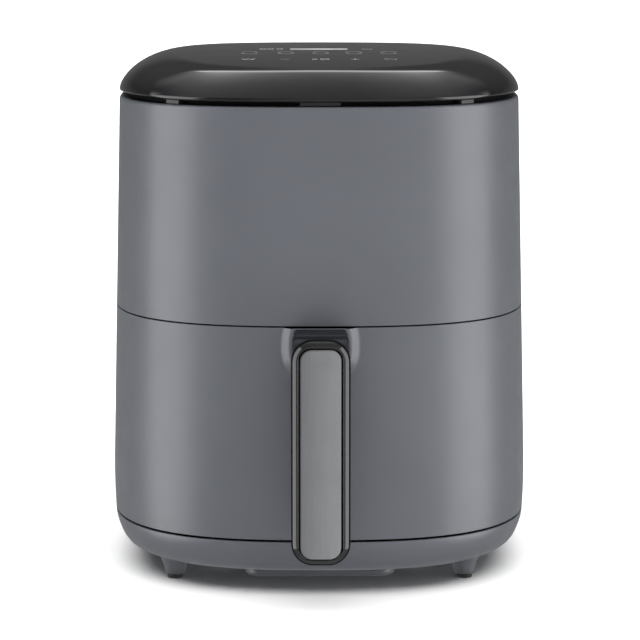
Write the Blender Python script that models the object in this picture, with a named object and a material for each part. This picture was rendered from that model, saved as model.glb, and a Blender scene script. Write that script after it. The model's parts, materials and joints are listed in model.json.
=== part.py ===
"""Drawer-type hot-air fryer: tapered squircle housing with a gloss cap, a pull-out drawer with
its bowl and crisper plate, and the heater, fans, motor and boards inside. Metres, +Z up, front
towards -Y, feet on Z = 0, the overall box centred on the Z axis."""

import math

import bmesh
import bpy
from mathutils import Matrix, Vector

# ---- overall body ---------------------------------------------------------------------------
SEGMENTS = 48                     # points round each squircle section
BODY_HALF_W = 0.132               # at the low seam
BODY_HALF_D = 0.148
BODY_EXPONENT = 2.7               # 2 = ellipse, larger = squarer
TAPER = 0.0226                    # inset per side for each unit of height
BODY_Y = 0.0165                   # body axis, so handle and rear spacer balance about Y = 0
LOW_SEAM_Z = 0.0338
MID_SEAM_Z = 0.164
BODY_TOP_Z = 0.295
SEAM_GAP = 0.0008
FIT_GAP = 0.0003
WALL = 0.0025
WIDE = 0.4                        # longer than anything that has to be cut through

# ---- base -----------------------------------------------------------------------------------
BASE_OUTER = ((0.0012, 0.0334), (0.0020, 0.028), (0.0036, 0.023), (0.0058, 0.0185),
              (0.0092, 0.015), (0.016, 0.0128), (0.030, 0.012))
BASE_INNER = ((0.032, 0.0145), (0.0172, 0.0155), (0.0093, 0.0190), (0.0055, 0.0260),
              (0.0037, 0.0334))
FOOT_X = 0.0897
FOOT_Y = 0.095
FOOT_TOP_R = 0.0086
FOOT_LOW_R = 0.0060
PAD_R = 0.0049
PAD_H = 0.0025
PLINTH_HALF_W = 0.046
PLINTH_FRONT = -0.122
PLINTH_REAR = -0.092
PLINTH_Z = 0.006
SCREW_X = 0.062
SCREW_Y = 0.072
SCREW_R = 0.0015
SCREW_HEAD_R = 0.0034
SCREW_HEAD_H = 0.0018
BOSS_R = 0.0042
BOSS_BORE_R = 0.0018

# ---- drawer bay -----------------------------------------------------------------------------
SPLIT_Y = 0.020                   # where the drawer front meets the rear half of the housing
DECK_INSET = 0.005
DECK_Z = 0.0341
DECK_T = 0.002
BAY_HALF_W = 0.123
BAY_FRONT = -0.045
BAY_REAR = 0.115
BAY_CORNER_R = 0.075
BAY_TOP_Z = 0.160
BAY_WALL = 0.002
RAIL_INNER_X = 0.1125
RAIL_OUTER_X = 0.1207
RAIL_HALF_L = 0.044
RAIL_Z = 0.1452
RAIL_H = 0.0045
CEILING_Z = 0.1652
CEILING_T = 0.002
CEILING_INSET = 0.0031

# ---- bowl and crisper plate -----------------------------------------------------------------
BOWL_Y = -0.008                   # bowl and fan axis, from the body axis
BOWL_EXPONENT = 3.0
BOWL_OUTER = ((0.094, 0.042), (0.101, 0.045), (0.104, 0.052), (0.110, 0.150),
              (0.117, 0.150), (0.117, 0.152))
BOWL_INNER = ((0.1084, 0.152), (0.1024, 0.0525), (0.0996, 0.0466), (0.0935, 0.0436))
BOWL_CLEAR = ((0.1108, 0.036), (0.1108, 0.1496), (0.1174, 0.1496), (0.1174, 0.1527),
              (0.1086, 0.1527), (0.1086, 0.170))
PLATE_HALF = 0.0995
PLATE_Z = 0.058
PLATE_T = 0.0015
PLATE_LEG = 0.060
PLATE_LEG_R = 0.004
PLATE_LEG_Z = 0.044
PLATE_HOLE_R = 0.013
SLOT_ROWS = 9
SLOT_PITCH = 0.018
SLOT_L = 0.058
SLOT_W = 0.006
SLOT_X = 0.050
SLOT_END_TRIM = 0.40              # how much the rows nearest the rim are shortened
BUMPER_R = 0.0055
BUMPER_AT = 0.1085
BUMPER_Z = 0.054
BUMPER_H = 0.010

# ---- heater chamber -------------------------------------------------------------------------
LINER_OUTER = ((0.118, 0.1675), (0.118, 0.1687), (0.1142, 0.1687), (0.1142, 0.200),
               (0.110, 0.206))
LINER_INNER = ((0.109, 0.2048), (0.113, 0.1994), (0.113, 0.1675))
SHAFT_HOLE_R = 0.006
GUARD_Z = 0.174
GUARD_T = 0.0012
GUARD_REACH = 0.1124
GUARD_BAR = 0.003
GUARD_RINGS = (0.030, 0.055, 0.080, 0.104)
ELEMENT_Z = 0.186
ELEMENT_R = 0.0032
ELEMENT_OUTER = 0.091
ELEMENT_INNER = 0.069
ELEMENT_TOP = 0.216
TERMINAL_ANGLES = (114.0, 98.0)
ELEMENT_TURN = 80.0
ELEMENT_STEP = 15.0
TERMINAL_HOLE_R = 0.0050
SHIELD_Z = 0.210
SHIELD_T = 0.001
SHIELD_INSET = 0.006
SENSOR_AT = (0.070, 0.066)
SENSOR_R = 0.0025
SENSOR_Z = (0.190, 0.218)
CUTOUT_AT = (-0.066, 0.056)
CUTOUT_R = 0.008
CUTOUT_Z = (0.2063, 0.2096)

# ---- motor and fans -------------------------------------------------------------------------
SHAFT_R = 0.003
SHAFT_Z = (0.186, 0.284)
BRACKET_R = 0.046
BRACKET_Z = 0.217
BRACKET_T = 0.002
BRACKET_LEG_AT = 0.038
BRACKET_LEG_R = 0.004
MOTOR_R = 0.033
MOTOR_Z = (0.2193, 0.259)
MOTOR_BORE_R = 0.0036
HUB_BORE_R = 0.0033
BLADES = 8
HOT_FAN_R = 0.076
HOT_DISC_Z = (0.2010, 0.2024)
HOT_BLADE_Z = (0.1924, 0.2016)
HOT_HUB_R = 0.011
HOT_HUB_Z = (0.1920, 0.2034)
COOL_FAN_R = 0.050
COOL_DISC_Z = (0.2660, 0.2674)
COOL_BLADE_Z = (0.2668, 0.2770)
COOL_HUB_R = 0.010
COOL_HUB_Z = (0.2655, 0.2780)
BLADE_T = 0.0014
NUT_R = 0.0055
NUT_Z = (0.1872, 0.1917)

# ---- electrics ------------------------------------------------------------------------------
POWER_HALF_W = 0.045
POWER_Y = 0.112
POWER_Z = (0.2115, 0.268)
BOARD_T = 0.0016
TRANSFORMER = (0.034, 0.020, 0.026)
TRANSFORMER_AT = (-0.020, 0.236)
CAPACITOR_R = 0.006
CAPACITOR_L = 0.018
CAPACITOR_AT = (0.022, 0.240)
BOARD_HALF_W = 0.060
BOARD_Y = (-0.118, -0.058)
BOARD_Z = 0.305
DISPLAY_X = (-0.028, 0.030)
DISPLAY_Y = (-0.112, -0.098)
DISPLAY_Z = (0.3069, 0.3115)
SWITCH_X = (0.030, 0.050)
SWITCH_Y = (0.1153, 0.131)
SWITCH_Z = (0.092, 0.108)
PLUNGER_AT = (0.040, 0.100)
PLUNGER_R = 0.0017
PLUNGER_Y = (0.1068, 0.1210)
PLUNGER_BORE_R = 0.0022
PLUNGER_BORE_END = 0.1245
TAB_X = (0.033, 0.047)
TAB_REAR = 0.1065
TAB_Z = (0.092, 0.108)
TAB_CLEAR = 0.0003

# ---- cap ------------------------------------------------------------------------------------
CAP_Z = 0.2990
CAP_ROUND_W = 0.033               # how far in the shoulder runs
CAP_RISE = 0.0225
CAP_ROUND_POWER = 1.56            # 2 = ellipse, smaller = fuller middle
CAP_CREST_Y = 0.070
CAP_DOME_R = 2.985
CAP_STEPS = 6
FACET_STEPS = 3                   # steps that climb the slanted front band
FACET_RUN = 0.015
FACET_HALF_W = (0.085, 0.106)     # full band inside the first, plain shoulder past the second
COLLAR_INSET = (0.0066, 0.018)
COLLAR_Z = (0.2953, 0.3000)
LUG_X = 0.090
LUG_HALF_W = 0.004
LUG_TOP_Z = 0.2987
LUG_INSET = 0.0022
BLOCK_HALF_W = 0.0125
CAP_POST_R = 0.0035
CAP_POST_INSET = 0.0135
CAP_POST_L = 0.0085
CAP_POST_ANGLES = (40.0, 140.0, 215.0, 325.0)
BOARD_POST_R = 0.0025
BOARD_POST_X = 0.054
BOARD_POSTS = ((-0.110, 0.0077), (-0.064, 0.0101))   # distance forward, length

# ---- back of the housing --------------------------------------------------------------------
GRILLE_HALF_W = 0.048
GRILLE_Z = (0.220, 0.272)
GRILLE_PROUD = 0.0008
GRILLE_ROWS = 7
GRILLE_SLOT_HALF_W = 0.040
GRILLE_SLOT_H = 0.0032
SPACER_HALF_W = 0.036
SPACER_Z = (0.176, 0.204)
SPACER_REACH = 0.160
SPACER_ROUND = 0.006
GLAND_AT = (0.060, 0.060)
GLAND_R = 0.0075
GLAND_HEAD_R = 0.0100
GLAND_HEAD_T = 0.0030
GLAND_L = 0.014
GLAND_BORE_R = 0.0035

# ---- drawer front and handle ----------------------------------------------------------------
EDGE_ROUND = 0.0007
BOSS_FACE_Y = -0.1500
BOSS_Y = (BOSS_FACE_Y, -0.1438)     # its face, then its root in the front panel
BOSS_HALF_W = (0.0182, 0.0235)
BOSS_LOW_Z = (0.1372, 0.1335)
BOSS_ROUND = (0.0140, 0.0180)
BOSS_WALL = 0.0025
BOSS_POCKET_HALF_W = 0.0150
BOSS_POCKET_Z = (0.1395, 0.1600)
BOSS_POCKET_ROUND = 0.0040
BOSS_POCKET_END_Y = -0.1400
INNER_WALL_INSET = 0.015
INNER_WALL_T = 0.002
INNER_LOW_Z = 0.040
INNER_DECK_Z = (0.153, 0.155)
INNER_DECK_REACH = 0.045
INNER_CUT_Y = -0.048
HANDLE_FRONT_Y = -0.193
HANDLE_HALF_W = 0.01725
HANDLE_Z = (0.0295, 0.1625)
HANDLE_CORNER_R = 0.013
FRAME_T = 0.007
INSERT_HALF_W = 0.0125
INSERT_Z = (0.0318, 0.1573)
INSERT_CORNER_R = 0.007
INSERT_SUNK = 0.0008
CORE_SHRINK = 0.0006
CORE_T = 0.0115
NECK_HANDLE_HALF_W = 0.0160
NECK_HANDLE_Z = (0.122, 0.1618)
NECK_DRAWER_HALF_W = 0.0143
NECK_DRAWER_Z = (0.1400, 0.1628)
NECK_CORNER_R = 0.005
HANDLE_SCREW_X = 0.008
HANDLE_SCREW_Z = 0.1478
HANDLE_SCREW_R = 0.0018
HANDLE_SCREW_BORE_R = 0.0021
HANDLE_SCREW_HEAD_R = 0.0036
HANDLE_SCREW_HEAD_H = 0.0022
HANDLE_SCREW_L = 0.013

CORNER_STEPS = 5

for stale in list(bpy.data.objects):
    bpy.data.objects.remove(stale, do_unlink=True)

PARTS = bpy.data.collections.new("air_fryer")
CUTTERS = bpy.data.collections.new("cutters")
bpy.context.scene.collection.children.link(PARTS)
bpy.context.scene.collection.children.link(CUTTERS)


# ---- materials ------------------------------------------------------------------------------
def material(name, colour, roughness, metallic):
    mat = bpy.data.materials.new(name)
    mat.use_nodes = True
    shader = mat.node_tree.nodes["Principled BSDF"]
    shader.inputs["Base Color"].default_value = (*colour, 1.0)
    shader.inputs["Roughness"].default_value = roughness
    shader.inputs["Metallic"].default_value = metallic
    return mat


LOOKS = {
    "body": ((0.15, 0.16, 0.18), 0.40, 0.2),
    "gloss": ((0.012, 0.012, 0.014), 0.12, 0.0),
    "dark": ((0.03, 0.03, 0.033), 0.55, 0.0),
    "metal": ((0.35, 0.36, 0.38), 0.35, 1.0),
    "steel": ((0.55, 0.55, 0.55), 0.30, 1.0),
    "nonstick": ((0.03, 0.03, 0.03), 0.45, 0.3),
    "rubber": ((0.02, 0.02, 0.02), 0.85, 0.0),
    "board": ((0.02, 0.12, 0.05), 0.50, 0.0),
}


# ---- object helpers -------------------------------------------------------------------------
def add_mesh(name, look, bm, smooth=False):
    bmesh.ops.recalc_face_normals(bm, faces=bm.faces)
    mesh = bpy.data.meshes.new(name)
    bm.to_mesh(mesh)
    bm.free()
    obj = bpy.data.objects.new(name, mesh)
    if look is None:
        obj.hide_render = True
        obj.display_type = "WIRE"
        CUTTERS.objects.link(obj)
    else:
        obj.data.materials.append(material(name, *LOOKS[look]))
        PARTS.objects.link(obj)
    for polygon in mesh.polygons:
        polygon.use_smooth = smooth
    return obj


def boolean(target, tool, operation):
    modifier = target.modifiers.new(f"{operation.lower()}_{tool.name}"[:60], "BOOLEAN")
    modifier.operation = operation
    modifier.solver = "EXACT"
    modifier.object = tool
    return target


def cut(target, tool):
    return boolean(target, tool, "DIFFERENCE")


def fuse(target, tool):
    return boolean(target, tool, "UNION")


def loft(name, look, rings, closed=False, smooth=True):
    bm = bmesh.new()
    rows = [[bm.verts.new(point) for point in ring] for ring in rings]
    pairs = list(zip(rows, rows[1:]))
    if closed:
        pairs.append((rows[-1], rows[0]))
    for low, high in pairs:
        for i in range(len(low)):
            j = (i + 1) % len(low)
            bm.faces.new((low[i], low[j], high[j], high[i]))
    if not closed:
        bm.faces.new(reversed(rows[0]))
        bm.faces.new(rows[-1])
    return add_mesh(name, look, bm, smooth)


def squircle(half_w, half_d, exponent, centre_y):
    points = []
    for i in range(SEGMENTS):
        angle = 2.0 * math.pi * (i + 0.5) / SEGMENTS
        c, s = math.cos(angle), math.sin(angle)
        reach = (abs(c / half_w) ** exponent + abs(s / half_d) ** exponent) ** (-1.0 / exponent)
        points.append((reach * c, centre_y + reach * s))
    return points


def body_half(inset, z):
    drawn_in = inset + TAPER * max(0.0, z - LOW_SEAM_Z)
    return BODY_HALF_W - drawn_in, BODY_HALF_D - drawn_in


def body_ring(inset, z):
    half_w, half_d = body_half(inset, z)
    return [(x, y, z) for x, y in squircle(half_w, half_d, BODY_EXPONENT, BODY_Y)]


def bowl_ring(half, z):
    return [(x, y, z) for x, y in squircle(half, half, BOWL_EXPONENT, BODY_Y + BOWL_Y)]


def box(name, look, xs, ys, zs):
    bm = bmesh.new()
    bmesh.ops.create_cube(bm, size=1.0)
    size = Vector((xs[1] - xs[0], ys[1] - ys[0], zs[1] - zs[0]))
    centre = Vector((xs[0] + xs[1], ys[0] + ys[1], zs[0] + zs[1])) / 2.0
    for vert in bm.verts:
        vert.co = Vector(a * b for a, b in zip(vert.co, size)) + centre
    return add_mesh(name, look, bm)


def boxes(name, look, spans):
    bm = bmesh.new()
    for xs, ys, zs in spans:
        size = Vector((xs[1] - xs[0], ys[1] - ys[0], zs[1] - zs[0]))
        centre = Vector((xs[0] + xs[1], ys[0] + ys[1], zs[0] + zs[1])) / 2.0
        made = bmesh.ops.create_cube(bm, size=1.0)["verts"]
        for vert in made:
            vert.co = Vector(a * b for a, b in zip(vert.co, size)) + centre
    return add_mesh(name, look, bm)


def cylinder(name, look, centre, radius, length, axis="Z", top=None, sides=24):
    """Round bar starting at centre and running length along the positive axis."""
    bm = bmesh.new()
    bmesh.ops.create_cone(bm, cap_ends=True, segments=sides, radius1=radius,
                          radius2=radius if top is None else top, depth=length)
    bmesh.ops.translate(bm, verts=bm.verts, vec=(0.0, 0.0, length / 2.0))
    if axis == "Y":
        bmesh.ops.rotate(bm, verts=bm.verts, matrix=Matrix.Rotation(-math.pi / 2.0, 3, "X"))
    bmesh.ops.translate(bm, verts=bm.verts, vec=centre)
    return add_mesh(name, look, bm, smooth=True)


def rounded_plan(half_w, low, high, radius):
    """Rounded rectangle in two axes: across, and from low to high."""
    points = []
    corners = ((half_w - radius, high - radius, 0.0), (radius - half_w, high - radius, 90.0),
               (radius - half_w, low + radius, 180.0), (half_w - radius, low + radius, 270.0))
    for x, z, start in corners:
        for step in range(CORNER_STEPS + 1):
            angle = math.radians(start + 90.0 * step / CORNER_STEPS)
            points.append((x + radius * math.cos(angle), z + radius * math.sin(angle)))
    return points


def slab_y(name, look, plan, front, rear, smooth=False):
    """Flat plan in X and Z, given thickness along Y."""
    rings = [[(x, front, z) for x, z in plan], [(x, rear, z) for x, z in plan]]
    return loft(name, look, rings, smooth=smooth)


def around_bowl(x, y):
    return x, BODY_Y + BOWL_Y + y


# ---- base -----------------------------------------------------------------------------------
def build_base():
    rings = [body_ring(i, z) for i, z in reversed(BASE_OUTER)]
    rings += [body_ring(i, z) for i, z in reversed(BASE_INNER)]
    shell = loft("base_shell", "body", rings)
    signs = ((-1, -1, "front_left"), (1, -1, "front_right"),
             (-1, 1, "rear_left"), (1, 1, "rear_right"))
    for sx, sy, where in signs:
        x, y = sx * FOOT_X, BODY_Y + sy * FOOT_Y
        low = PAD_H + FIT_GAP
        stub = cylinder(f"foot_stub_{where}", None, (x, y, low), FOOT_LOW_R,
                        BASE_INNER[0][1] - WALL / 4 - low, top=FOOT_TOP_R, sides=20)
        fuse(shell, stub)
        cylinder(f"foot_pad_{where}", "rubber", (x, y, 0.0), PAD_R, PAD_H, sides=20)
    for sx, sy, where in signs:
        x, y = sx * SCREW_X, BODY_Y + sy * SCREW_Y
        hole = cylinder(f"base_hole_{where}", None, (x, y, 0.0), BOSS_BORE_R,
                        LOW_SEAM_Z, sides=12)
        cut(shell, hole)
        head_top = BASE_OUTER[-1][1] - FIT_GAP
        screw = cylinder(f"base_screw_{where}", "steel", (x, y, head_top - SCREW_HEAD_H),
                         SCREW_HEAD_R, SCREW_HEAD_H, sides=16)
        shank = cylinder(f"base_shank_{where}", None, (x, y, head_top - SCREW_HEAD_H / 2),
                         SCREW_R, DECK_Z - head_top - WALL, sides=12)
        fuse(screw, shank)
    plan = rounded_plan(PLINTH_HALF_W, PLINTH_FRONT, PLINTH_REAR, SPACER_ROUND * 2)
    rings = [[(x, BODY_Y + y, z) for x, y in plan]
             for z in (PLINTH_Z, BASE_OUTER[-1][1] - FIT_GAP)]
    loft("base_plinth", "body", rings, smooth=False)


# ---- drawer bay -----------------------------------------------------------------------------
def bay_path(half_w, rear, radius):
    points = [(half_w, BAY_FRONT)]
    for x, start in ((half_w - radius, 0.0), (radius - half_w, 90.0)):
        for step in range(2 * CORNER_STEPS + 1):
            angle = math.radians(start + 90.0 * step / (2 * CORNER_STEPS))
            points.append((x + radius * math.cos(angle), rear - radius + radius * math.sin(angle)))
    return points + [(-half_w, BAY_FRONT)]


def build_bay():
    deck_rings = [body_ring(DECK_INSET, DECK_Z), body_ring(DECK_INSET, DECK_Z + DECK_T)]
    tray = loft("bay_tray", "dark", deck_rings)
    outer = bay_path(BAY_HALF_W, BAY_REAR, BAY_CORNER_R)
    inner = bay_path(BAY_HALF_W - BAY_WALL, BAY_REAR - BAY_WALL, BAY_CORNER_R - BAY_WALL)
    plan = outer + inner[::-1]
    rings = [[(x, BODY_Y + y, z) for x, y in plan] for z in (DECK_Z + DECK_T / 2, BAY_TOP_Z)]
    fuse(tray, loft("bay_wall", None, rings))
    for sx in (-1, 1):
        for sy in (-1, 1):
            x, y = sx * SCREW_X, BODY_Y + sy * SCREW_Y
            low = BASE_INNER[0][1] + 2 * FIT_GAP
            fuse(tray, cylinder(f"boss_{sx}_{sy}", None, (x, y, low), BOSS_R,
                                DECK_Z + DECK_T / 2 - low, sides=12))
            cut(tray, cylinder(f"boss_bore_{sx}_{sy}", None, (x, y, 0.0), BOSS_BORE_R,
                               DECK_Z - FIT_GAP, sides=12))
    x, z = PLUNGER_AT
    cut(tray, cylinder("plunger_gate", None, (x, BODY_Y + BAY_REAR - WALL * 2, z),
                       PLUNGER_BORE_R, WALL * 4, axis="Y", sides=16))
    for side, name in ((-1, "rail_left"), (1, "rail_right")):
        xs = sorted((side * RAIL_INNER_X, side * RAIL_OUTER_X))
        box(name, "dark", xs, (BODY_Y - RAIL_HALF_L, BODY_Y + RAIL_HALF_L),
            (RAIL_Z, RAIL_Z + RAIL_H))
    rings = [body_ring(CEILING_INSET, CEILING_Z), body_ring(CEILING_INSET, CEILING_Z + CEILING_T)]
    ceiling = loft("bay_ceiling", "dark", rings)
    mouth = BOWL_OUTER[3][0] + WALL
    cut(ceiling, loft("ceiling_mouth", None, [bowl_ring(mouth, CEILING_Z - WALL),
                                              bowl_ring(mouth, CEILING_Z + WALL * 2)]))


# ---- housing --------------------------------------------------------------------------------
def body_tube(name, look, insets, low, high):
    near, far = insets
    rings = [body_ring(near, low), body_ring(near, high), body_ring(far, high),
             body_ring(far, low)]
    return loft(name, look, rings, closed=True)


def build_housing():
    low = LOW_SEAM_Z + SEAM_GAP / 2
    profile = ((EDGE_ROUND, low), (0.0, low + EDGE_ROUND), (0.0, BODY_TOP_Z - WALL),
               (EDGE_ROUND, BODY_TOP_Z - EDGE_ROUND), (WALL, BODY_TOP_Z),
               (COLLAR_INSET[1], BODY_TOP_Z), (COLLAR_INSET[1], BODY_TOP_Z - WALL),
               (WALL, BODY_TOP_Z - WALL), (WALL, low))
    shell = loft("housing_shell", "body", [body_ring(i, z) for i, z in profile], closed=True)
    cut(shell, box("drawer_mouth", None, (-WIDE, WIDE), (-WIDE, BODY_Y + SPLIT_Y),
                   (0.0, MID_SEAM_Z + SEAM_GAP / 2)))
    window_x = (-GRILLE_HALF_W - FIT_GAP, GRILLE_HALF_W + FIT_GAP)
    window_z = (GRILLE_Z[0] - FIT_GAP, GRILLE_Z[1] + FIT_GAP)
    cut(shell, box("grille_window", None, window_x, (BODY_Y + BAY_REAR, WIDE), window_z))
    x, z = GLAND_AT
    cut(shell, cylinder("gland_hole", None, (x, BODY_Y + BAY_REAR, z), GLAND_R + FIT_GAP,
                        WIDE, axis="Y", sides=20))
    grille = body_tube("rear_vent_grille", "dark", (-GRILLE_PROUD, WALL), *GRILLE_Z)
    side_cuts = [((GRILLE_HALF_W, WIDE), (-WIDE, WIDE), (0.0, WIDE)),
                 ((-WIDE, -GRILLE_HALF_W), (-WIDE, WIDE), (0.0, WIDE))]
    cut(grille, boxes("grille_sides", None, side_cuts))
    cut(grille, box("grille_front", None, (-WIDE, WIDE), (-WIDE, BODY_Y), (0.0, WIDE)))
    pitch = (GRILLE_Z[1] - GRILLE_Z[0]) / (GRILLE_ROWS + 1)
    slots = []
    for row in range(GRILLE_ROWS):
        mid = GRILLE_Z[0] + pitch * (row + 1)
        slots.append(((-GRILLE_SLOT_HALF_W, GRILLE_SLOT_HALF_W), (BODY_Y + BAY_REAR, WIDE),
                      (mid - GRILLE_SLOT_H / 2, mid + GRILLE_SLOT_H / 2)))
    cut(grille, boxes("grille_slots", None, slots))
    plan = rounded_plan(SPACER_HALF_W, *SPACER_Z, SPACER_ROUND)
    spacer = slab_y("rear_spacer", "dark", plan, BODY_Y + BAY_REAR, BODY_Y + SPACER_REACH)
    cut(spacer, loft("spacer_seat", None, [body_ring(-FIT_GAP, LOW_SEAM_Z),
                                           body_ring(-FIT_GAP, BODY_TOP_Z)]))
    build_gland(x, z)


def build_gland(x, z):
    half_w, half_d = body_half(0.0, z)
    wall_y = BODY_Y + half_d * (1.0 - (x / half_w) ** BODY_EXPONENT) ** (1.0 / BODY_EXPONENT)
    start = wall_y - GLAND_L * 0.6
    gland = cylinder("cord_gland", "dark", (x, start, z), GLAND_R, GLAND_L, axis="Y", sides=20)
    head = cylinder("gland_head", None, (x, wall_y + GLAND_HEAD_T, z), GLAND_HEAD_R,
                    GLAND_HEAD_T, axis="Y", sides=20)
    fuse(gland, head)
    cut(gland, cylinder("gland_bore", None, (x, start - WALL, z), GLAND_BORE_R,
                        GLAND_L * 2, axis="Y", sides=16))


# ---- heater chamber -------------------------------------------------------------------------
def ring_band(name, inner, outer, low, high, sides=28):
    rings = []
    for radius, z in ((outer, low), (outer, high), (inner, high), (inner, low)):
        ring = []
        for i in range(sides):
            angle = 2.0 * math.pi * i / sides
            x, y = around_bowl(radius * math.cos(angle), radius * math.sin(angle))
            ring.append((x, y, z))
        rings.append(ring)
    return loft(name, None, rings, closed=True)


def polar(radius, degrees):
    angle = math.radians(degrees)
    return around_bowl(radius * math.cos(angle), radius * math.sin(angle))


def drill(target, name, at, radius):
    tool = cylinder(f"{target.name}_{name}", None, (*at, BAY_TOP_Z), radius, WIDE, sides=16)
    return cut(target, tool)


def build_heater():
    rings = [bowl_ring(h, z) for h, z in LINER_INNER] + [bowl_ring(h, z) for h, z in LINER_OUTER]
    liner = loft("chamber_liner", "steel", rings)
    shield_rings = [body_ring(SHIELD_INSET, SHIELD_Z), body_ring(SHIELD_INSET, SHIELD_Z + SHIELD_T)]
    shield = loft("heat_shield", "steel", shield_rings)
    axis = around_bowl(0.0, 0.0)
    sensor = around_bowl(*SENSOR_AT)
    for plate in (liner, shield):
        drill(plate, "shaft", axis, SHAFT_HOLE_R)
        drill(plate, "sensor", sensor, SENSOR_R + FIT_GAP)
        for index, angle in enumerate(TERMINAL_ANGLES):
            drill(plate, f"terminal_{index}", polar(ELEMENT_OUTER, angle), TERMINAL_HOLE_R)
    build_guard()
    build_element()
    cylinder("temperature_sensor", "steel", (*sensor, SENSOR_Z[0]), SENSOR_R,
             SENSOR_Z[1] - SENSOR_Z[0], sides=16)
    cylinder("thermal_cutout", "steel", (*around_bowl(*CUTOUT_AT), CUTOUT_Z[0]), CUTOUT_R,
             CUTOUT_Z[1] - CUTOUT_Z[0])


def build_guard():
    zs = (GUARD_Z, GUARD_Z + GUARD_T)
    x, y = around_bowl(0.0, 0.0)
    half = GUARD_BAR / 2
    guard = box("element_guard", "steel", (-GUARD_REACH, GUARD_REACH), (y - half, y + half), zs)
    cross = box("guard_cross", None, (-half, half), (y - GUARD_REACH, y + GUARD_REACH), zs)
    fuse(guard, cross)
    for index, radius in enumerate(GUARD_RINGS):
        fuse(guard, ring_band(f"guard_ring_{index}", radius - GUARD_BAR, radius, *zs))


def build_element():
    start, end = TERMINAL_ANGLES
    points = [(*polar(ELEMENT_OUTER, start), ELEMENT_TOP)]
    outer_sweep = 360.0 + ELEMENT_TURN - start
    count = int(outer_sweep / ELEMENT_STEP)
    for i in range(count + 1):
        points.append((*polar(ELEMENT_OUTER, start + outer_sweep * i / count), ELEMENT_Z))
    inner_sweep = 360.0 + ELEMENT_TURN - end
    for i in range(count + 1):
        angle = ELEMENT_TURN - inner_sweep * i / count
        points.append((*polar(ELEMENT_INNER, angle), ELEMENT_Z))
    points.append((*polar(ELEMENT_OUTER, end), ELEMENT_Z))
    points.append((*polar(ELEMENT_OUTER, end), ELEMENT_TOP))
    curve = bpy.data.curves.new("heating_element", "CURVE")
    curve.dimensions = "3D"
    curve.bevel_depth = ELEMENT_R
    curve.bevel_resolution = 1
    curve.use_fill_caps = True
    spline = curve.splines.new("POLY")
    spline.points.add(len(points) - 1)
    for point, place in zip(spline.points, points):
        point.co = (*place, 1.0)
    obj = bpy.data.objects.new("heating_element", curve)
    obj.data.materials.append(material("heating_element", *LOOKS["metal"]))
    PARTS.objects.link(obj)


# ---- motor and fans -------------------------------------------------------------------------
def fan(name, look, radius, disc_z, blade_z, hub_radius, hub_z):
    x, y = around_bowl(0.0, 0.0)
    disc = cylinder(name, look, (x, y, disc_z[0]), radius, disc_z[1] - disc_z[0], sides=40)
    fuse(disc, cylinder(f"{name}_hub", None, (x, y, hub_z[0]), hub_radius,
                        hub_z[1] - hub_z[0], sides=20))
    start, reach = hub_radius * 0.8, radius * 0.97
    for index in range(BLADES):
        blade = box(f"{name}_blade_{index}", None, (start, reach),
                    (-BLADE_T / 2, BLADE_T / 2), blade_z)
        blade.rotation_euler = (0.0, 0.0, 2.0 * math.pi * index / BLADES)
        blade.location = (x, y, 0.0)
        fuse(disc, blade)
    return cut(disc, cylinder(f"{name}_bore", None, (x, y, BAY_TOP_Z), HUB_BORE_R, WIDE, sides=16))


def build_drive():
    x, y = around_bowl(0.0, 0.0)
    cylinder("motor_shaft", "steel", (x, y, SHAFT_Z[0]), SHAFT_R, SHAFT_Z[1] - SHAFT_Z[0],
             sides=16)
    fan("hot_air_fan", "steel", HOT_FAN_R, HOT_DISC_Z, HOT_BLADE_Z, HOT_HUB_R, HOT_HUB_Z)
    fan("cooling_fan", "dark", COOL_FAN_R, COOL_DISC_Z, COOL_BLADE_Z, COOL_HUB_R, COOL_HUB_Z)
    nut = cylinder("fan_nut", "steel", (x, y, NUT_Z[0]), NUT_R, NUT_Z[1] - NUT_Z[0], sides=6)
    cut(nut, cylinder("nut_bore", None, (x, y, NUT_Z[0] - WALL), HUB_BORE_R, WIDE, sides=16))
    motor = cylinder("motor_body", "metal", (x, y, MOTOR_Z[0]), MOTOR_R, MOTOR_Z[1] - MOTOR_Z[0],
                     sides=32)
    cut(motor, cylinder("motor_bore", None, (x, y, BAY_TOP_Z), MOTOR_BORE_R, WIDE, sides=16))
    bracket = cylinder("motor_bracket", "steel", (x, y, BRACKET_Z), BRACKET_R, BRACKET_T,
                       sides=32)
    low = SHIELD_Z + SHIELD_T + FIT_GAP
    for index in range(3):
        at = polar(BRACKET_LEG_AT, 90.0 + 120.0 * index)
        fuse(bracket, cylinder(f"bracket_leg_{index}", None, (*at, low), BRACKET_LEG_R,
                               BRACKET_Z + BRACKET_T / 2 - low, sides=12))
    cut(bracket, cylinder("bracket_hole", None, (x, y, BAY_TOP_Z), SHAFT_HOLE_R, WIDE, sides=16))


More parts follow.
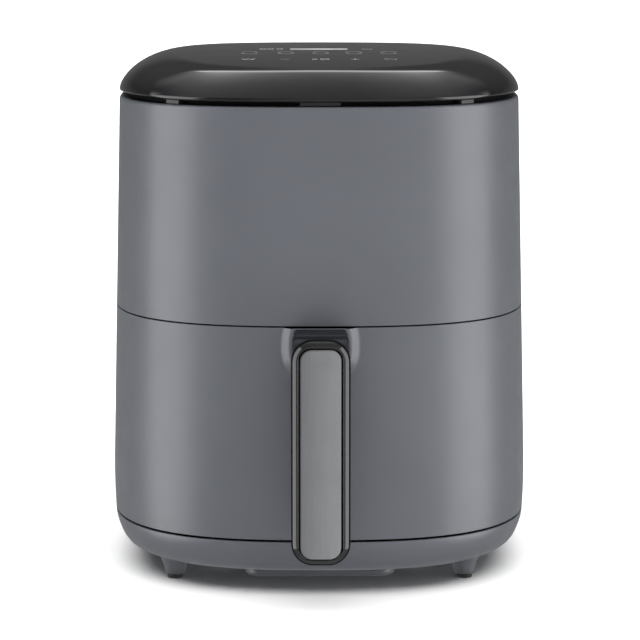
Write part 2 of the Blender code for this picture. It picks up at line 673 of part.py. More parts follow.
# ---- electrics ------------------------------------------------------------------------------
def build_electrics():
    rear = BODY_Y + POWER_Y
    power = box("power_board", "board", (-POWER_HALF_W, POWER_HALF_W), (rear, rear + BOARD_T),
                POWER_Z)
    x, z = TRANSFORMER_AT
    width, depth, height = TRANSFORMER
    fuse(power, box("transformer", None, (x - width / 2, x + width / 2),
                    (rear - depth, rear + BOARD_T / 2), (z - height / 2, z + height / 2)))
    x, z = CAPACITOR_AT
    fuse(power, cylinder("capacitor", None, (x, rear - CAPACITOR_L, z), CAPACITOR_R,
                         CAPACITOR_L + BOARD_T / 2, axis="Y", sides=16))
    box("control_board", "board", (-BOARD_HALF_W, BOARD_HALF_W),
        (BODY_Y + BOARD_Y[0], BODY_Y + BOARD_Y[1]), (BOARD_Z, BOARD_Z + BOARD_T))
    box("display_module", "dark", DISPLAY_X, (BODY_Y + DISPLAY_Y[0], BODY_Y + DISPLAY_Y[1]),
        DISPLAY_Z)
    switch = box("drawer_switch", "dark", SWITCH_X, (BODY_Y + SWITCH_Y[0], BODY_Y + SWITCH_Y[1]),
                 SWITCH_Z)
    x, z = PLUNGER_AT
    cut(switch, cylinder("switch_bore", None, (x, BODY_Y, z), PLUNGER_BORE_R,
                         PLUNGER_BORE_END, axis="Y", sides=16))
    cylinder("switch_plunger", "steel", (x, BODY_Y + PLUNGER_Y[0], z), PLUNGER_R,
             PLUNGER_Y[1] - PLUNGER_Y[0], axis="Y", sides=16)


# ---- cap ------------------------------------------------------------------------------------
def cap_rings(skin):
    """Rings up over the cap's edge, drawn in by skin: shoulder at the sides, band in front."""
    lift = CAP_Z if skin == 0.0 else CAP_Z - WALL
    rise = CAP_RISE + CAP_Z - lift - skin
    rings = []
    for step in range(CAP_STEPS + 1):
        angle = math.pi / 2.0 * step / CAP_STEPS
        power = 2.0 / CAP_ROUND_POWER
        shoulder = (CAP_ROUND_W * (1.0 - abs(math.cos(angle)) ** power),
                    math.sin(angle) ** power)
        climb = min(1.0, step / FACET_STEPS)
        along = max(0.0, (step - FACET_STEPS) / (CAP_STEPS - FACET_STEPS))
        band = (FACET_RUN * climb + (CAP_ROUND_W - FACET_RUN) * along, climb)
        ring = []
        edge = body_ring(skin, BODY_TOP_Z)
        low = body_ring(skin + shoulder[0], BODY_TOP_Z)
        front = body_ring(skin + band[0], BODY_TOP_Z)
        for at_edge, at_side, at_front in zip(edge, low, front):
            part = front_share(at_edge[0], at_edge[1])
            x, y = (a + (b - a) * part for a, b in zip(at_side[:2], at_front[:2]))
            height = shoulder[1] + (band[1] - shoulder[1]) * part
            ring.append(cap_point(x, y, lift, rise, height))
        rings.append(ring)
    half_w, half_d = body_half(skin + CAP_ROUND_W, BODY_TOP_Z)
    inner = squircle(half_w / 2.0, half_d / 2.0, BODY_EXPONENT, BODY_Y)
    rings.append([cap_point(x, y, lift, rise, 1.0) for x, y in inner])
    return rings


def front_share(x, y):
    """1 where the slanted band runs, 0 where the cap has its plain shoulder."""
    if y > BODY_Y:
        return 0.0
    full, none = FACET_HALF_W
    part = min(1.0, max(0.0, (none - abs(x)) / (none - full)))
    return part * part * (3.0 - 2.0 * part)


def cap_point(x, y, lift, rise, height):
    drop = (y - BODY_Y - CAP_CREST_Y) ** 2 / (2.0 * CAP_DOME_R)
    return x, y, lift + (rise - drop) * height


def build_cap():
    cap = loft("top_cap", "gloss", cap_rings(0.0))
    cut(cap, loft("cap_hollow", None, cap_rings(WALL)))
    for index, degrees in enumerate(CAP_POST_ANGLES):
        half_w, half_d = body_half(CAP_POST_INSET, BODY_TOP_Z)
        angle = math.radians(degrees)
        c, s = math.cos(angle), math.sin(angle)
        reach = (abs(c / half_w) ** BODY_EXPONENT + abs(s / half_d) ** BODY_EXPONENT)
        reach **= -1.0 / BODY_EXPONENT
        at = (reach * c, BODY_Y + reach * s, COLLAR_Z[1] + FIT_GAP)
        fuse(cap, cylinder(f"cap_post_{index}", None, at, CAP_POST_R, CAP_POST_L, sides=12))
    for side in (-1, 1):
        for y, length in BOARD_POSTS:
            at = (side * BOARD_POST_X, BODY_Y + y, BOARD_Z + BOARD_T + FIT_GAP)
            fuse(cap, cylinder(f"board_post_{side}_{y}", None, at, BOARD_POST_R, length,
                               sides=12))
    rings = [body_ring(i, z) for i, z in
             ((COLLAR_INSET[0], COLLAR_Z[0]), (COLLAR_INSET[0], COLLAR_Z[1]),
              (COLLAR_INSET[1], COLLAR_Z[1]), (COLLAR_INSET[1], COLLAR_Z[0]))]
    collar = loft("cap_collar", "dark", rings, closed=True)
    lugs = body_tube("collar_lugs", None, (LUG_INSET, COLLAR_INSET[0] + WALL), COLLAR_Z[0],
                     LUG_TOP_Z)
    spans = ((-WIDE, -LUG_X - LUG_HALF_W), (-LUG_X + LUG_HALF_W, -BLOCK_HALF_W),
             (BLOCK_HALF_W, LUG_X - LUG_HALF_W), (LUG_X + LUG_HALF_W, WIDE))
    cut(lugs, boxes("lug_gaps", None, [(xs, (-WIDE, WIDE), (0.0, WIDE)) for xs in spans]))
    cut(lugs, box("lug_rear", None, (-WIDE, WIDE), (BODY_Y, WIDE), (0.0, WIDE)))
    fuse(collar, lugs)


# ---- drawer ---------------------------------------------------------------------------------
def build_drawer_front():
    low = LOW_SEAM_Z + SEAM_GAP / 2
    high = MID_SEAM_Z - SEAM_GAP / 2
    profile = ((EDGE_ROUND, low), (0.0, low + EDGE_ROUND), (0.0, high - EDGE_ROUND),
               (EDGE_ROUND, high), (WALL, high), (WALL, low))
    front = loft("drawer_front", "body", [body_ring(i, z) for i, z in profile], closed=True)
    cut(front, box("drawer_rear_cut", None, (-WIDE, WIDE), (BODY_Y + SPLIT_Y - SEAM_GAP, WIDE),
                   (0.0, WIDE)))
    rings = []
    for half_w, low_z, round_r, y in zip(BOSS_HALF_W, BOSS_LOW_Z, BOSS_ROUND, BOSS_Y):
        plan = rounded_plan(half_w, low_z, high + BOSS_ROUND[1] * 2, round_r)
        rings.append([(x, BODY_Y + y, z) for x, z in plan])
    boss = loft("handle_boss", None, rings)
    cut(boss, box("boss_trim", None, (-WIDE, WIDE), (-WIDE, WIDE), (high, WIDE)))
    fuse(front, boss)
    plan = rounded_plan(BOSS_POCKET_HALF_W, *BOSS_POCKET_Z, BOSS_POCKET_ROUND)
    cut(front, slab_y("boss_pocket", None, plan, BODY_Y + BOSS_FACE_Y + BOSS_WALL,
                      BODY_Y + BOSS_POCKET_END_Y))
    for side in (-1, 1):
        at = (side * HANDLE_SCREW_X, BODY_Y + BOSS_FACE_Y - BOSS_WALL, HANDLE_SCREW_Z)
        cut(front, cylinder(f"front_hole_{side}", None, at, HANDLE_SCREW_BORE_R, BOSS_WALL * 3,
                            axis="Y", sides=12))
    reach, deck = INNER_DECK_REACH, INNER_DECK_Z
    near = INNER_WALL_INSET
    far = near + INNER_WALL_T
    lip = WALL + FIT_GAP
    profile = ((lip, deck[1]), (reach, deck[1]), (reach, deck[0]), (far, deck[0]),
               (far, INNER_LOW_Z), (near, INNER_LOW_Z), (near, deck[0]), (lip, deck[0]))
    inner = loft("drawer_inner_front", "dark", [body_ring(i, z) for i, z in profile],
                 closed=True)
    cut(inner, box("inner_rear_cut", None, (-WIDE, WIDE), (BODY_Y + INNER_CUT_Y, WIDE),
                   (0.0, WIDE)))
    cut(inner, loft("bowl_clearance", None, [bowl_ring(h, z) for h, z in BOWL_CLEAR]))


def build_bowl():
    rings = [bowl_ring(h, z) for h, z in BOWL_OUTER + BOWL_INNER]
    loft("bowl", "nonstick", rings)
    tab = box("switch_tab", "dark", TAB_X, (BODY_Y, BODY_Y + TAB_REAR), TAB_Z)
    outer = [bowl_ring(h + TAB_CLEAR, z) for h, z in BOWL_OUTER[:4]]
    cut(tab, loft("tab_seat", None, outer))


def build_crisper():
    rings = [bowl_ring(PLATE_HALF, PLATE_Z), bowl_ring(PLATE_HALF, PLATE_Z + PLATE_T)]
    plate = loft("crisper_plate", "nonstick", rings)
    for sx in (-1, 1):
        for sy in (-1, 1):
            at = (*around_bowl(sx * PLATE_LEG, sy * PLATE_LEG), PLATE_LEG_Z)
            fuse(plate, cylinder(f"plate_leg_{sx}_{sy}", None, at, PLATE_LEG_R,
                                 PLATE_Z + PLATE_T / 2 - PLATE_LEG_Z, sides=12))
    slots = []
    middle = (SLOT_ROWS - 1) / 2
    for row in range(SLOT_ROWS):
        off = row - middle
        y = BODY_Y + BOWL_Y + off * SLOT_PITCH
        trim = SLOT_L * SLOT_END_TRIM * (abs(off) / middle) ** 3
        if abs(off) * SLOT_PITCH < PLATE_LEG - SLOT_W or abs(off) * SLOT_PITCH > PLATE_LEG + SLOT_W:
            for side in (-1, 1):
                xs = sorted((side * (SLOT_X - SLOT_L / 2), side * (SLOT_X + SLOT_L / 2 - trim)))
                slots.append((xs, (y - SLOT_W / 2, y + SLOT_W / 2),
                              (PLATE_Z - PLATE_T, PLATE_Z + 2 * PLATE_T)))
    cut(plate, boxes("plate_slots", None, slots))
    cut(plate, cylinder("plate_hole", None, (*around_bowl(0.0, 0.0), PLATE_Z - PLATE_T),
                        PLATE_HOLE_R, 3 * PLATE_T, sides=24))
    for angle, where in ((225.0, "front_left"), (315.0, "front_right"),
                         (135.0, "rear_left"), (45.0, "rear_right")):
        at = (*polar(BUMPER_AT, angle), BUMPER_Z)
        cylinder(f"plate_bumper_{where}", "rubber", at, BUMPER_R, BUMPER_H, sides=16)
        cut(plate, cylinder(f"bumper_notch_{where}", None, at, BUMPER_R + FIT_GAP, BUMPER_H,
                            sides=16))


# ---- handle ---------------------------------------------------------------------------------
def build_handle():
    front = BODY_Y + HANDLE_FRONT_Y
    back = front + FRAME_T
    plan = rounded_plan(HANDLE_HALF_W, *HANDLE_Z, HANDLE_CORNER_R)
    frame = slab_y("handle_frame", "gloss", plan, front, back)
    slack = FIT_GAP
    plan = rounded_plan(INSERT_HALF_W + slack, INSERT_Z[0] - slack, INSERT_Z[1] + slack,
                        INSERT_CORNER_R + slack)
    cut(frame, slab_y("frame_opening", None, plan, front - FRAME_T, back + FRAME_T))
    plan = rounded_plan(INSERT_HALF_W, *INSERT_Z, INSERT_CORNER_R)
    slab_y("handle_insert", "metal", plan, front + INSERT_SUNK, back)
    start = back + FIT_GAP
    plan = rounded_plan(HANDLE_HALF_W - CORE_SHRINK, HANDLE_Z[0] + CORE_SHRINK,
                        HANDLE_Z[1] - CORE_SHRINK, HANDLE_CORNER_R - CORE_SHRINK)
    core = slab_y("handle_core", "body", plan, start, start + CORE_T)
    at_handle = rounded_plan(NECK_HANDLE_HALF_W, *NECK_HANDLE_Z, NECK_CORNER_R)
    at_drawer = rounded_plan(NECK_DRAWER_HALF_W, *NECK_DRAWER_Z, NECK_CORNER_R)
    end = BODY_Y + BOSS_FACE_Y - FIT_GAP
    rings = [[(x, start + CORE_T / 2, z) for x, z in at_handle],
             [(x, end, z) for x, z in at_drawer]]
    fuse(core, loft("neck", None, rings))
    head_y = BODY_Y + BOSS_FACE_Y + BOSS_WALL + FIT_GAP
    z = HANDLE_SCREW_Z
    for side, name in ((-1, "handle_screw_left"), (1, "handle_screw_right")):
        x = side * HANDLE_SCREW_X
        cut(core, cylinder(f"{name}_bore", None, (x, end - HANDLE_SCREW_L, z),
                           HANDLE_SCREW_BORE_R, HANDLE_SCREW_L * 1.5, axis="Y", sides=12))
        screw = cylinder(name, "steel", (x, head_y, z), HANDLE_SCREW_HEAD_R,
                         HANDLE_SCREW_HEAD_H, axis="Y", sides=16)
        fuse(screw, cylinder(f"{name}_shank", None, (x, head_y - HANDLE_SCREW_L, z),
                             HANDLE_SCREW_R, HANDLE_SCREW_L + HANDLE_SCREW_HEAD_H / 2,
                             axis="Y", sides=12))


build_base()
build_bay()
build_housing()
build_heater()
build_drive()
build_electrics()
build_cap()
build_drawer_front()
build_bowl()
build_crisper()
build_handle()
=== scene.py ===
"""Looks for the drawer-type air fryer: fine shells, handle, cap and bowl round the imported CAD
frame, with procedural materials, studio light, a pale floor and the camera. Metres, +Z up."""

import json
import math

import bmesh
import bpy
from mathutils import Matrix, Vector


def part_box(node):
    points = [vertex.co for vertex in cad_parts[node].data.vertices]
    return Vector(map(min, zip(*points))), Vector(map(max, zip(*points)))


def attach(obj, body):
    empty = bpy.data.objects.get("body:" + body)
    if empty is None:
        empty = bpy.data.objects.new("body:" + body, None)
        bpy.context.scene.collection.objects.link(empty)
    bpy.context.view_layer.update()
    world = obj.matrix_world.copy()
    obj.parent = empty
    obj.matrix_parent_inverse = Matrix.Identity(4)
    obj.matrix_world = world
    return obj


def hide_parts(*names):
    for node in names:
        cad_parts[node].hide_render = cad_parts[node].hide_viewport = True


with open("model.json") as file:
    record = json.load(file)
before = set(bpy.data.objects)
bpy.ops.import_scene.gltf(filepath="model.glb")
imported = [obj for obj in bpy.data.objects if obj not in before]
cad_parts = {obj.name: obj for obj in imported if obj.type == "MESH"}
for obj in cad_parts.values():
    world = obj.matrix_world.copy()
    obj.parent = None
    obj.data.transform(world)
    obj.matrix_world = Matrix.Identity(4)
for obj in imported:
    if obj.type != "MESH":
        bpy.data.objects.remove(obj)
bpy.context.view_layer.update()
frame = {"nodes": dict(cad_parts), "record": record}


# ---- sizes, from the frame ------------------------------------------------------------------
MM = 0.001
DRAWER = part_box("drawer_front")
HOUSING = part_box("housing_shell")
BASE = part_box("base_shell")
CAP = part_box("top_cap")
FRAME_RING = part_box("handle_frame")
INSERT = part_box("handle_insert")
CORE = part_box("handle_core")
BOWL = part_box("bowl")
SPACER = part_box("rear_spacer")
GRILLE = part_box("rear_vent_grille")
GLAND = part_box("cord_gland")
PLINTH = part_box("base_plinth")

BODY_EXPONENT = 2.7               # superellipse plan of every shell
BODY_HALF_W = (DRAWER[1].x - DRAWER[0].x) / 2
BODY_HALF_D = (HOUSING[1].y - DRAWER[0].y) / 2
BODY_Y = (HOUSING[1].y + DRAWER[0].y) / 2
LOW_SEAM_Z = DRAWER[0].z - 0.4 * MM
MID_SEAM_Z = DRAWER[1].z + 0.4 * MM
BODY_TOP_Z = HOUSING[1].z
CAP_HALF_W = (CAP[1].x - CAP[0].x) / 2
TAPER = (BODY_HALF_W - CAP_HALF_W) / (BODY_TOP_Z - LOW_SEAM_Z)     # inwards, per metre up
WALL = 2.5 * MM
SEAM = 0.78 * MM                  # half the shadow gap above the base
MID_SEAM = 0.48 * MM              # half the gap between drawer and housing
SPLIT_Y = 20 * MM                 # drawer front to housing, behind the body axis

AROUND = 220                      # columns round a full shell
SKIRT_INSET = 1.45 * MM           # how far the shells draw in at the low seam
SKIRT_HEIGHT = 34 * MM
SKIRT_ROWS = 8
BOSS_HALF_W = 23.9 * MM           # bevelled boss round the handle's neck
BOSS_MIDDLE_Z = MID_SEAM_Z - 12 * MM
BOSS_UP = 28 * MM
BOSS_DOWN = 21.5 * MM
BOSS_POWER = 2.5
BOSS_BEVEL = 5.8 * MM
BOSS_HEIGHT = 4.6 * MM
BOSS_STEP = 1.1 * MM              # mesh spacing over the boss

BOWL_Y = (BOWL[0].y + BOWL[1].y) / 2
BOWL_EXPONENT = 3.0


# ---- materials ------------------------------------------------------------------------------
MIX_A, MIX_B, MIX_RESULT = 6, 7, 2     # colour sockets of the mix node


def principled(name, colour, roughness, metallic=0.0):
    mat = bpy.data.materials.new(name)
    mat.use_nodes = True
    shader = mat.node_tree.nodes["Principled BSDF"]
    shader.inputs["Base Color"].default_value = (*colour, 1.0)
    shader.inputs["Roughness"].default_value = roughness
    shader.inputs["Metallic"].default_value = metallic
    return mat, shader


def node(mat, kind, **values):
    made = mat.node_tree.nodes.new(kind)
    for key, value in values.items():
        if key in made.inputs:
            made.inputs[key].default_value = value
        else:
            setattr(made, key, value)
    return made


def noise(mat, scale, detail, stretch=(1.0, 1.0, 1.0)):
    """Noise over the piece's own coordinates, in lumps of about 1 / scale metres."""
    links = mat.node_tree.links
    place = node(mat, "ShaderNodeTexCoord")
    mapping = node(mat, "ShaderNodeMapping", Scale=stretch)
    texture = node(mat, "ShaderNodeTexNoise", Scale=scale, Detail=detail)
    links.new(place.outputs["Object"], mapping.inputs["Vector"])
    links.new(mapping.outputs["Vector"], texture.inputs["Vector"])
    return texture.outputs["Fac"]


def spread(mat, source, low, high):
    """Carries a noise's middle range to low and high."""
    ranged = node(mat, "ShaderNodeMapRange")
    ranged.inputs["From Min"].default_value = 0.3
    ranged.inputs["From Max"].default_value = 0.7
    ranged.inputs["To Min"].default_value = low
    ranged.inputs["To Max"].default_value = high
    mat.node_tree.links.new(source, ranged.inputs["Value"])
    return ranged.outputs["Result"]


def tint(mat, shader, source, colour, change):
    """Varies the base colour by change either way."""
    mixed = node(mat, "ShaderNodeMix", data_type="RGBA")
    mixed.inputs[MIX_A].default_value = (*(c * (1 - change) for c in colour), 1.0)
    mixed.inputs[MIX_B].default_value = (*(min(1.0, c * (1 + change)) for c in colour), 1.0)
    mat.node_tree.links.new(source, mixed.inputs[0])
    mat.node_tree.links.new(mixed.outputs[MIX_RESULT], shader.inputs["Base Color"])


def relief(mat, shader, source, strength, depth):
    bump = node(mat, "ShaderNodeBump", Strength=strength, Distance=depth)
    mat.node_tree.links.new(source, bump.inputs["Height"])
    mat.node_tree.links.new(bump.outputs["Normal"], shader.inputs["Normal"])


def plastic(name, colour, roughness, grain, depth, change=0.05, spread_by=0.04, gloss=0.5):
    """Moulded plastic or paint: fine surface grain, slow drift in colour and polish."""
    mat, shader = principled(name, colour, roughness)
    shader.inputs["Specular IOR Level"].default_value = gloss
    tint(mat, shader, spread(mat, noise(mat, 18.0, 3.0), 0.0, 1.0), colour, change)
    polish = spread(mat, noise(mat, 60.0, 4.0), roughness - spread_by, roughness + spread_by)
    mat.node_tree.links.new(polish, shader.inputs["Roughness"])
    relief(mat, shader, noise(mat, grain, 2.0), 0.6, depth)
    return mat


def metal(name, colour, roughness, stretch, depth=6e-6, change=0.08):
    """Drawn or brushed metal, with its lines along the axis that stretch squeezes least."""
    mat, shader = principled(name, colour, roughness, 1.0)
    lines = noise(mat, 900.0, 3.0, stretch)
    tint(mat, shader, spread(mat, lines, 0.0, 1.0), colour, change)
    polish = spread(mat, noise(mat, 40.0, 3.0), roughness - 0.05, roughness + 0.06)
    mat.node_tree.links.new(polish, shader.inputs["Roughness"])
    relief(mat, shader, lines, 0.5, depth)
    return mat


# name, colour, roughness, grain per metre, relief depth, change in colour, change in polish
MATS = {
    "body_paint": plastic("satin_grey_paint", (0.099, 0.105, 0.121), 0.36, 1700.0, 8e-6, 0.03),
    "cap_gloss": plastic("gloss_black_cap", (0.008, 0.008, 0.009), 0.13, 900.0, 1e-6, 0.1, 0.02),
    "handle_gloss": plastic("gloss_black_trim", (0.012, 0.012, 0.013), 0.12, 900.0, 1e-6, 0.1,
                            0.02),
    "handle_metal": metal("brushed_grey_insert", (0.33, 0.335, 0.345), 0.30, (1.0, 1.0, 0.04),
                          2e-6, 0.03),
    "bay_plastic": plastic("matte_black_bay", (0.018, 0.018, 0.020), 0.50, 1300.0, 2e-5, 0.15),
    "trim_plastic": plastic("eroded_black_trim", (0.024, 0.024, 0.026), 0.55, 1100.0, 3e-5, 0.15),
    "display_plastic": plastic("smooth_dark_plastic", (0.035, 0.035, 0.04), 0.35, 900.0, 5e-6),
    "foot_rubber": plastic("black_rubber", (0.018, 0.018, 0.018), 0.78, 1400.0, 3e-5, 0.15),
    "bumper_silicone": plastic("black_silicone", (0.025, 0.025, 0.027), 0.55, 1200.0, 1e-5, 0.1),
    "nonstick_coat": plastic("non_stick_coat", (0.028, 0.028, 0.030), 0.34, 1500.0, 1.5e-5, 0.3),
    "liner_steel": metal("sheet_steel", (0.50, 0.50, 0.49), 0.32, (1.0, 0.05, 1.0)),
    "element_steel": metal("heat_dark_tube", (0.20, 0.18, 0.17), 0.42, (1.0, 1.0, 1.0), 8e-6,
                           0.25),
    "motor_steel": metal("zinc_grey_can", (0.34, 0.34, 0.35), 0.40, (1.0, 1.0, 0.1)),
    "screw_steel": metal("bright_zinc", (0.58, 0.59, 0.60), 0.28, (1.0, 1.0, 1.0)),
    "board_green": plastic("lacquered_board", (0.02, 0.10, 0.045), 0.30, 800.0, 1e-5, 0.2),
}
# Near-black paint for the handle's neck and grip back: painted shade standing in for the shadow
# on the body-grey neck
NECK_PAINTED_SHADE = plastic("neck_painted_shade", (0.008, 0.009, 0.012), 0.48, 1500.0, 8e-6, 0.05,
                     gloss=0.20)
# Deeper black than any plastic slot, for the collar in the cap's gap and the ring's outer rim:
# painted shade that darkens gaps and edges
GAP_PAINTED_SHADE = plastic("gap_painted_shade", (0.004, 0.004, 0.004), 0.6, 900.0, 5e-6, 0.1, gloss=0.05)


# ---- mesh helpers ---------------------------------------------------------------------------
EDGE_ROUND = 0.35 * MM


def piece(name, bm, body, slot, stands_for=(), normals=True):
    """Smooth object that rides on a body, in its slot's material."""
    if normals:
        bmesh.ops.recalc_face_normals(bm, faces=bm.faces)
    mesh = bpy.data.meshes.new(name)
    bm.to_mesh(mesh)
    bm.free()
    for polygon in mesh.polygons:
        polygon.use_smooth = True
    obj = bpy.data.objects.new(name, mesh)
    obj.data.materials.append(MATS[slot])
    bpy.context.scene.collection.objects.link(obj)
    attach(obj, body)
    if stands_for:
        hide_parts(*stands_for)
    return obj


def repaint(obj, mat):
    """Gives a piece a material other than its slot's usual one."""
    obj.data.materials.clear()
    obj.data.materials.append(mat)
    return obj


def tool(name, bm):
    """A cutter: used by a Boolean, then removed."""
    bmesh.ops.recalc_face_normals(bm, faces=bm.faces)
    mesh = bpy.data.meshes.new(name)
    bm.to_mesh(mesh)
    bm.free()
    obj = bpy.data.objects.new(name, mesh)
    bpy.context.scene.collection.objects.link(obj)
    return obj


def settle(obj, tools=()):
    """Turns modifiers into the mesh itself and drops the tools."""
    depsgraph = bpy.context.evaluated_depsgraph_get()
    final = bpy.data.meshes.new_from_object(obj.evaluated_get(depsgraph))
    obj.modifiers.clear()
    obj.data = final
    for used in tools:
        bpy.data.objects.remove(used, do_unlink=True)
    return obj


def solidify(obj, thickness):
    modifier = obj.modifiers.new("wall", "SOLIDIFY")
    modifier.thickness = thickness
    modifier.offset = -1.0
    modifier.use_even_offset = True
    return obj


def boolean(obj, other, operation="DIFFERENCE"):
    modifier = obj.modifiers.new(operation.lower(), "BOOLEAN")
    modifier.operation = operation
    modifier.solver = "EXACT"
    modifier.object = other
    return obj


def soften(obj, width, segments=2, angle=38.0):
    """Small rounds on every edge sharper than angle."""
    modifier = obj.modifiers.new("edges", "BEVEL")
    modifier.width = width
    modifier.segments = segments
    modifier.limit_method = "ANGLE"
    modifier.angle_limit = math.radians(angle)
    modifier.harden_normals = True
    return obj


def sheet_mesh(rows, skip=None, loop=True):
    """Grid of faces over rows of points; skip(i, k) leaves a face out."""
    bm = bmesh.new()
    grid = [[bm.verts.new(point) for point in row] for row in rows]
    count = len(rows[0])
    for k in range(len(rows) - 1):
        for i in range(count if loop else count - 1):
            if skip and skip(i, k):
                continue
            j = (i + 1) % count
            bm.faces.new((grid[k][i], grid[k][j], grid[k + 1][j], grid[k + 1][i]))
    for vert in [v for v in bm.verts if not v.link_faces]:
        bm.verts.remove(vert)
    return bm


def solid_mesh(rows, closed=False):
    """Closed body over rows of points: capped at both ends, or joined end to end."""
    bm = bmesh.new()
    grid = [[bm.verts.new(point) for point in row] for row in rows]
    pairs = list(zip(grid, grid[1:]))
    if closed:
        pairs.append((grid[-1], grid[0]))
    count = len(rows[0])
    for low, high in pairs:
        for i in range(count):
            j = (i + 1) % count
            bm.faces.new((low[i], low[j], high[j], high[i]))
    if not closed:
        bm.faces.new(reversed(grid[0]))
        bm.faces.new(grid[-1])
    return bm


def add_prism(bm, low, high):
    """Closes two matching rings of vertices into a prism."""
    for i in range(len(low)):
        j = (i + 1) % len(low)
        bm.faces.new((low[i], low[j], high[j], high[i]))
    bm.faces.new(reversed(low))
    bm.faces.new(high)


def box_mesh(xs, ys, zs):
    bm = bmesh.new()
    bmesh.ops.create_cube(bm, size=1.0)
    for vert in bm.verts:
        vert.co = Vector(a[0] + (a[1] - a[0]) * (t + 0.5) for a, t in zip((xs, ys, zs), vert.co))
    return bm


def rod_mesh(at, radius, length, axis="Z", sides=40, top=None):
    bm = bmesh.new()
    bmesh.ops.create_cone(bm, cap_ends=True, segments=sides, radius1=radius,
                          radius2=radius if top is None else top, depth=length)
    bmesh.ops.translate(bm, verts=bm.verts, vec=(0.0, 0.0, length / 2))
    if axis == "Y":
        bmesh.ops.rotate(bm, verts=bm.verts, matrix=Matrix.Rotation(-math.pi / 2, 3, "X"))
    bmesh.ops.translate(bm, verts=bm.verts, vec=at)
    return bm


def turned_mesh(at, profile, axis="Z", sides=48):
    """Profile of (radius, height) pairs turned about an axis through at."""
    rows = []
    for radius, height in profile:
        row = []
        for i in range(sides):
            angle = 2 * math.pi * i / sides
            a, b = radius * math.cos(angle), radius * math.sin(angle)
            offset = (a, height, b) if axis == "Y" else (a, b, height)
            row.append(Vector(at) + Vector(offset))
        rows.append(row)
    return rows


# ---- body sections --------------------------------------------------------------------------
def reach(half_w, half_d, exponent, angle):
    """From a superellipse's centre to its edge."""
    c, s = abs(math.cos(angle)), abs(math.sin(angle))
    return ((c / half_w) ** exponent + (s / half_d) ** exponent) ** (-1.0 / exponent)


def body_half(inset, z):
    """Half width and half depth of the tapered body at that height."""
    drawn_in = inset + TAPER * max(0.0, z - LOW_SEAM_Z)
    return BODY_HALF_W - drawn_in, BODY_HALF_D - drawn_in


def skirt(z):
    """Extra inset where the shells draw in towards the base."""
    above = max(0.0, z - LOW_SEAM_Z)
    return SKIRT_INSET * max(0.0, 1.0 - above / SKIRT_HEIGHT) ** 2


def body_point(inset, z, angle):
    r = reach(*body_half(inset, z), BODY_EXPONENT, angle)
    return Vector((r * math.cos(angle), BODY_Y + r * math.sin(angle), z))


def angle_at_x(x, z, front=True):
    """Where round the body a point of that X lies."""
    half_w, half_d = body_half(0.0, z)
    y = half_d * (1.0 - (abs(x) / half_w) ** BODY_EXPONENT) ** (1.0 / BODY_EXPONENT)
    return math.atan2(-y if front else y, x)


def angle_at_y(y, z):
    half_w, half_d = body_half(0.0, z)
    x = half_w * (1.0 - (abs(y) / half_d) ** BODY_EXPONENT) ** (1.0 / BODY_EXPONENT)
    return math.atan2(y, x)


def even(start, end, count):
    """Values from start to end in that many even steps."""
    return [start + (end - start) * i / count for i in range(count + 1)]


def full_turn(count):
    return [2 * math.pi * i / count for i in range(count)]


FULL_TURN = full_turn(AROUND)


def shell_rows(profile, angles):
    """Body sections through a profile of (inset, height) pairs."""
    return [[body_point(inset, z, a) for a in angles] for inset, z in profile]


def smoothstep(t):
    t = min(1.0, max(0.0, t))
    return t * t * (3.0 - 2.0 * t)


# ---- housing --------------------------------------------------------------------------------
def build_housing():
    """Shell open in front below the middle seam, where the drawer goes, and rounded in at its
    top. The window and hole behind are for the grille and the cord gland."""
    low = LOW_SEAM_Z + SEAM
    mid = MID_SEAM_Z + MID_SEAM
    turn = angle_at_y(SPLIT_Y, mid)
    rear_count = int(AROUND * (math.pi - 2 * turn) / (2 * math.pi))
    rear = even(turn, math.pi - turn, rear_count)
    front = even(math.pi - turn, 2 * math.pi + turn, AROUND - rear_count)[1:-1]
    angles = rear + front
    heights = even(low, low + SKIRT_HEIGHT, SKIRT_ROWS) + [low + 60 * MM, low + 95 * MM]
    heights += [mid, mid + 30 * MM, mid + 80 * MM, BODY_TOP_Z - 12 * MM, BODY_TOP_Z - 2.4 * MM]
    profile = [(skirt(z), z) for z in heights]
    round_r, round_steps, land = 2.0 * MM, 4, 17 * MM
    for step in range(1, round_steps + 1):
        a = math.pi / 2 * step / round_steps
        profile.append((round_r * (1 - math.cos(a)), BODY_TOP_Z - round_r * (1 - math.sin(a))))
    profile.append((land, BODY_TOP_Z))
    first_open = heights.index(mid)
    last_rear = len(rear) - 1

    def drawer_side(i, k):
        return k < first_open and i >= last_rear

    shell = piece("housing_skin", sheet_mesh(shell_rows(profile, angles), drawer_side),
                  "housing", "body_paint", ("housing_shell",), normals=False)
    solidify(shell, WALL)
    window = tool("window", box_mesh((GRILLE[0].x - SEAM, GRILLE[1].x + SEAM),
                                     (GRILLE[0].y - 0.05, GRILLE[1].y + 0.05),
                                     (GRILLE[0].z - SEAM, GRILLE[1].z + SEAM)))
    gland_at = (GLAND[0] + GLAND[1]) / 2
    hole = tool("gland_hole", rod_mesh((gland_at.x, GLAND[0].y - 0.02, gland_at.z), 7.8 * MM,
                                       0.08, "Y"))
    boolean(shell, window)
    boolean(shell, hole)
    soften(shell, EDGE_ROUND)
    settle(shell, (window, hole))


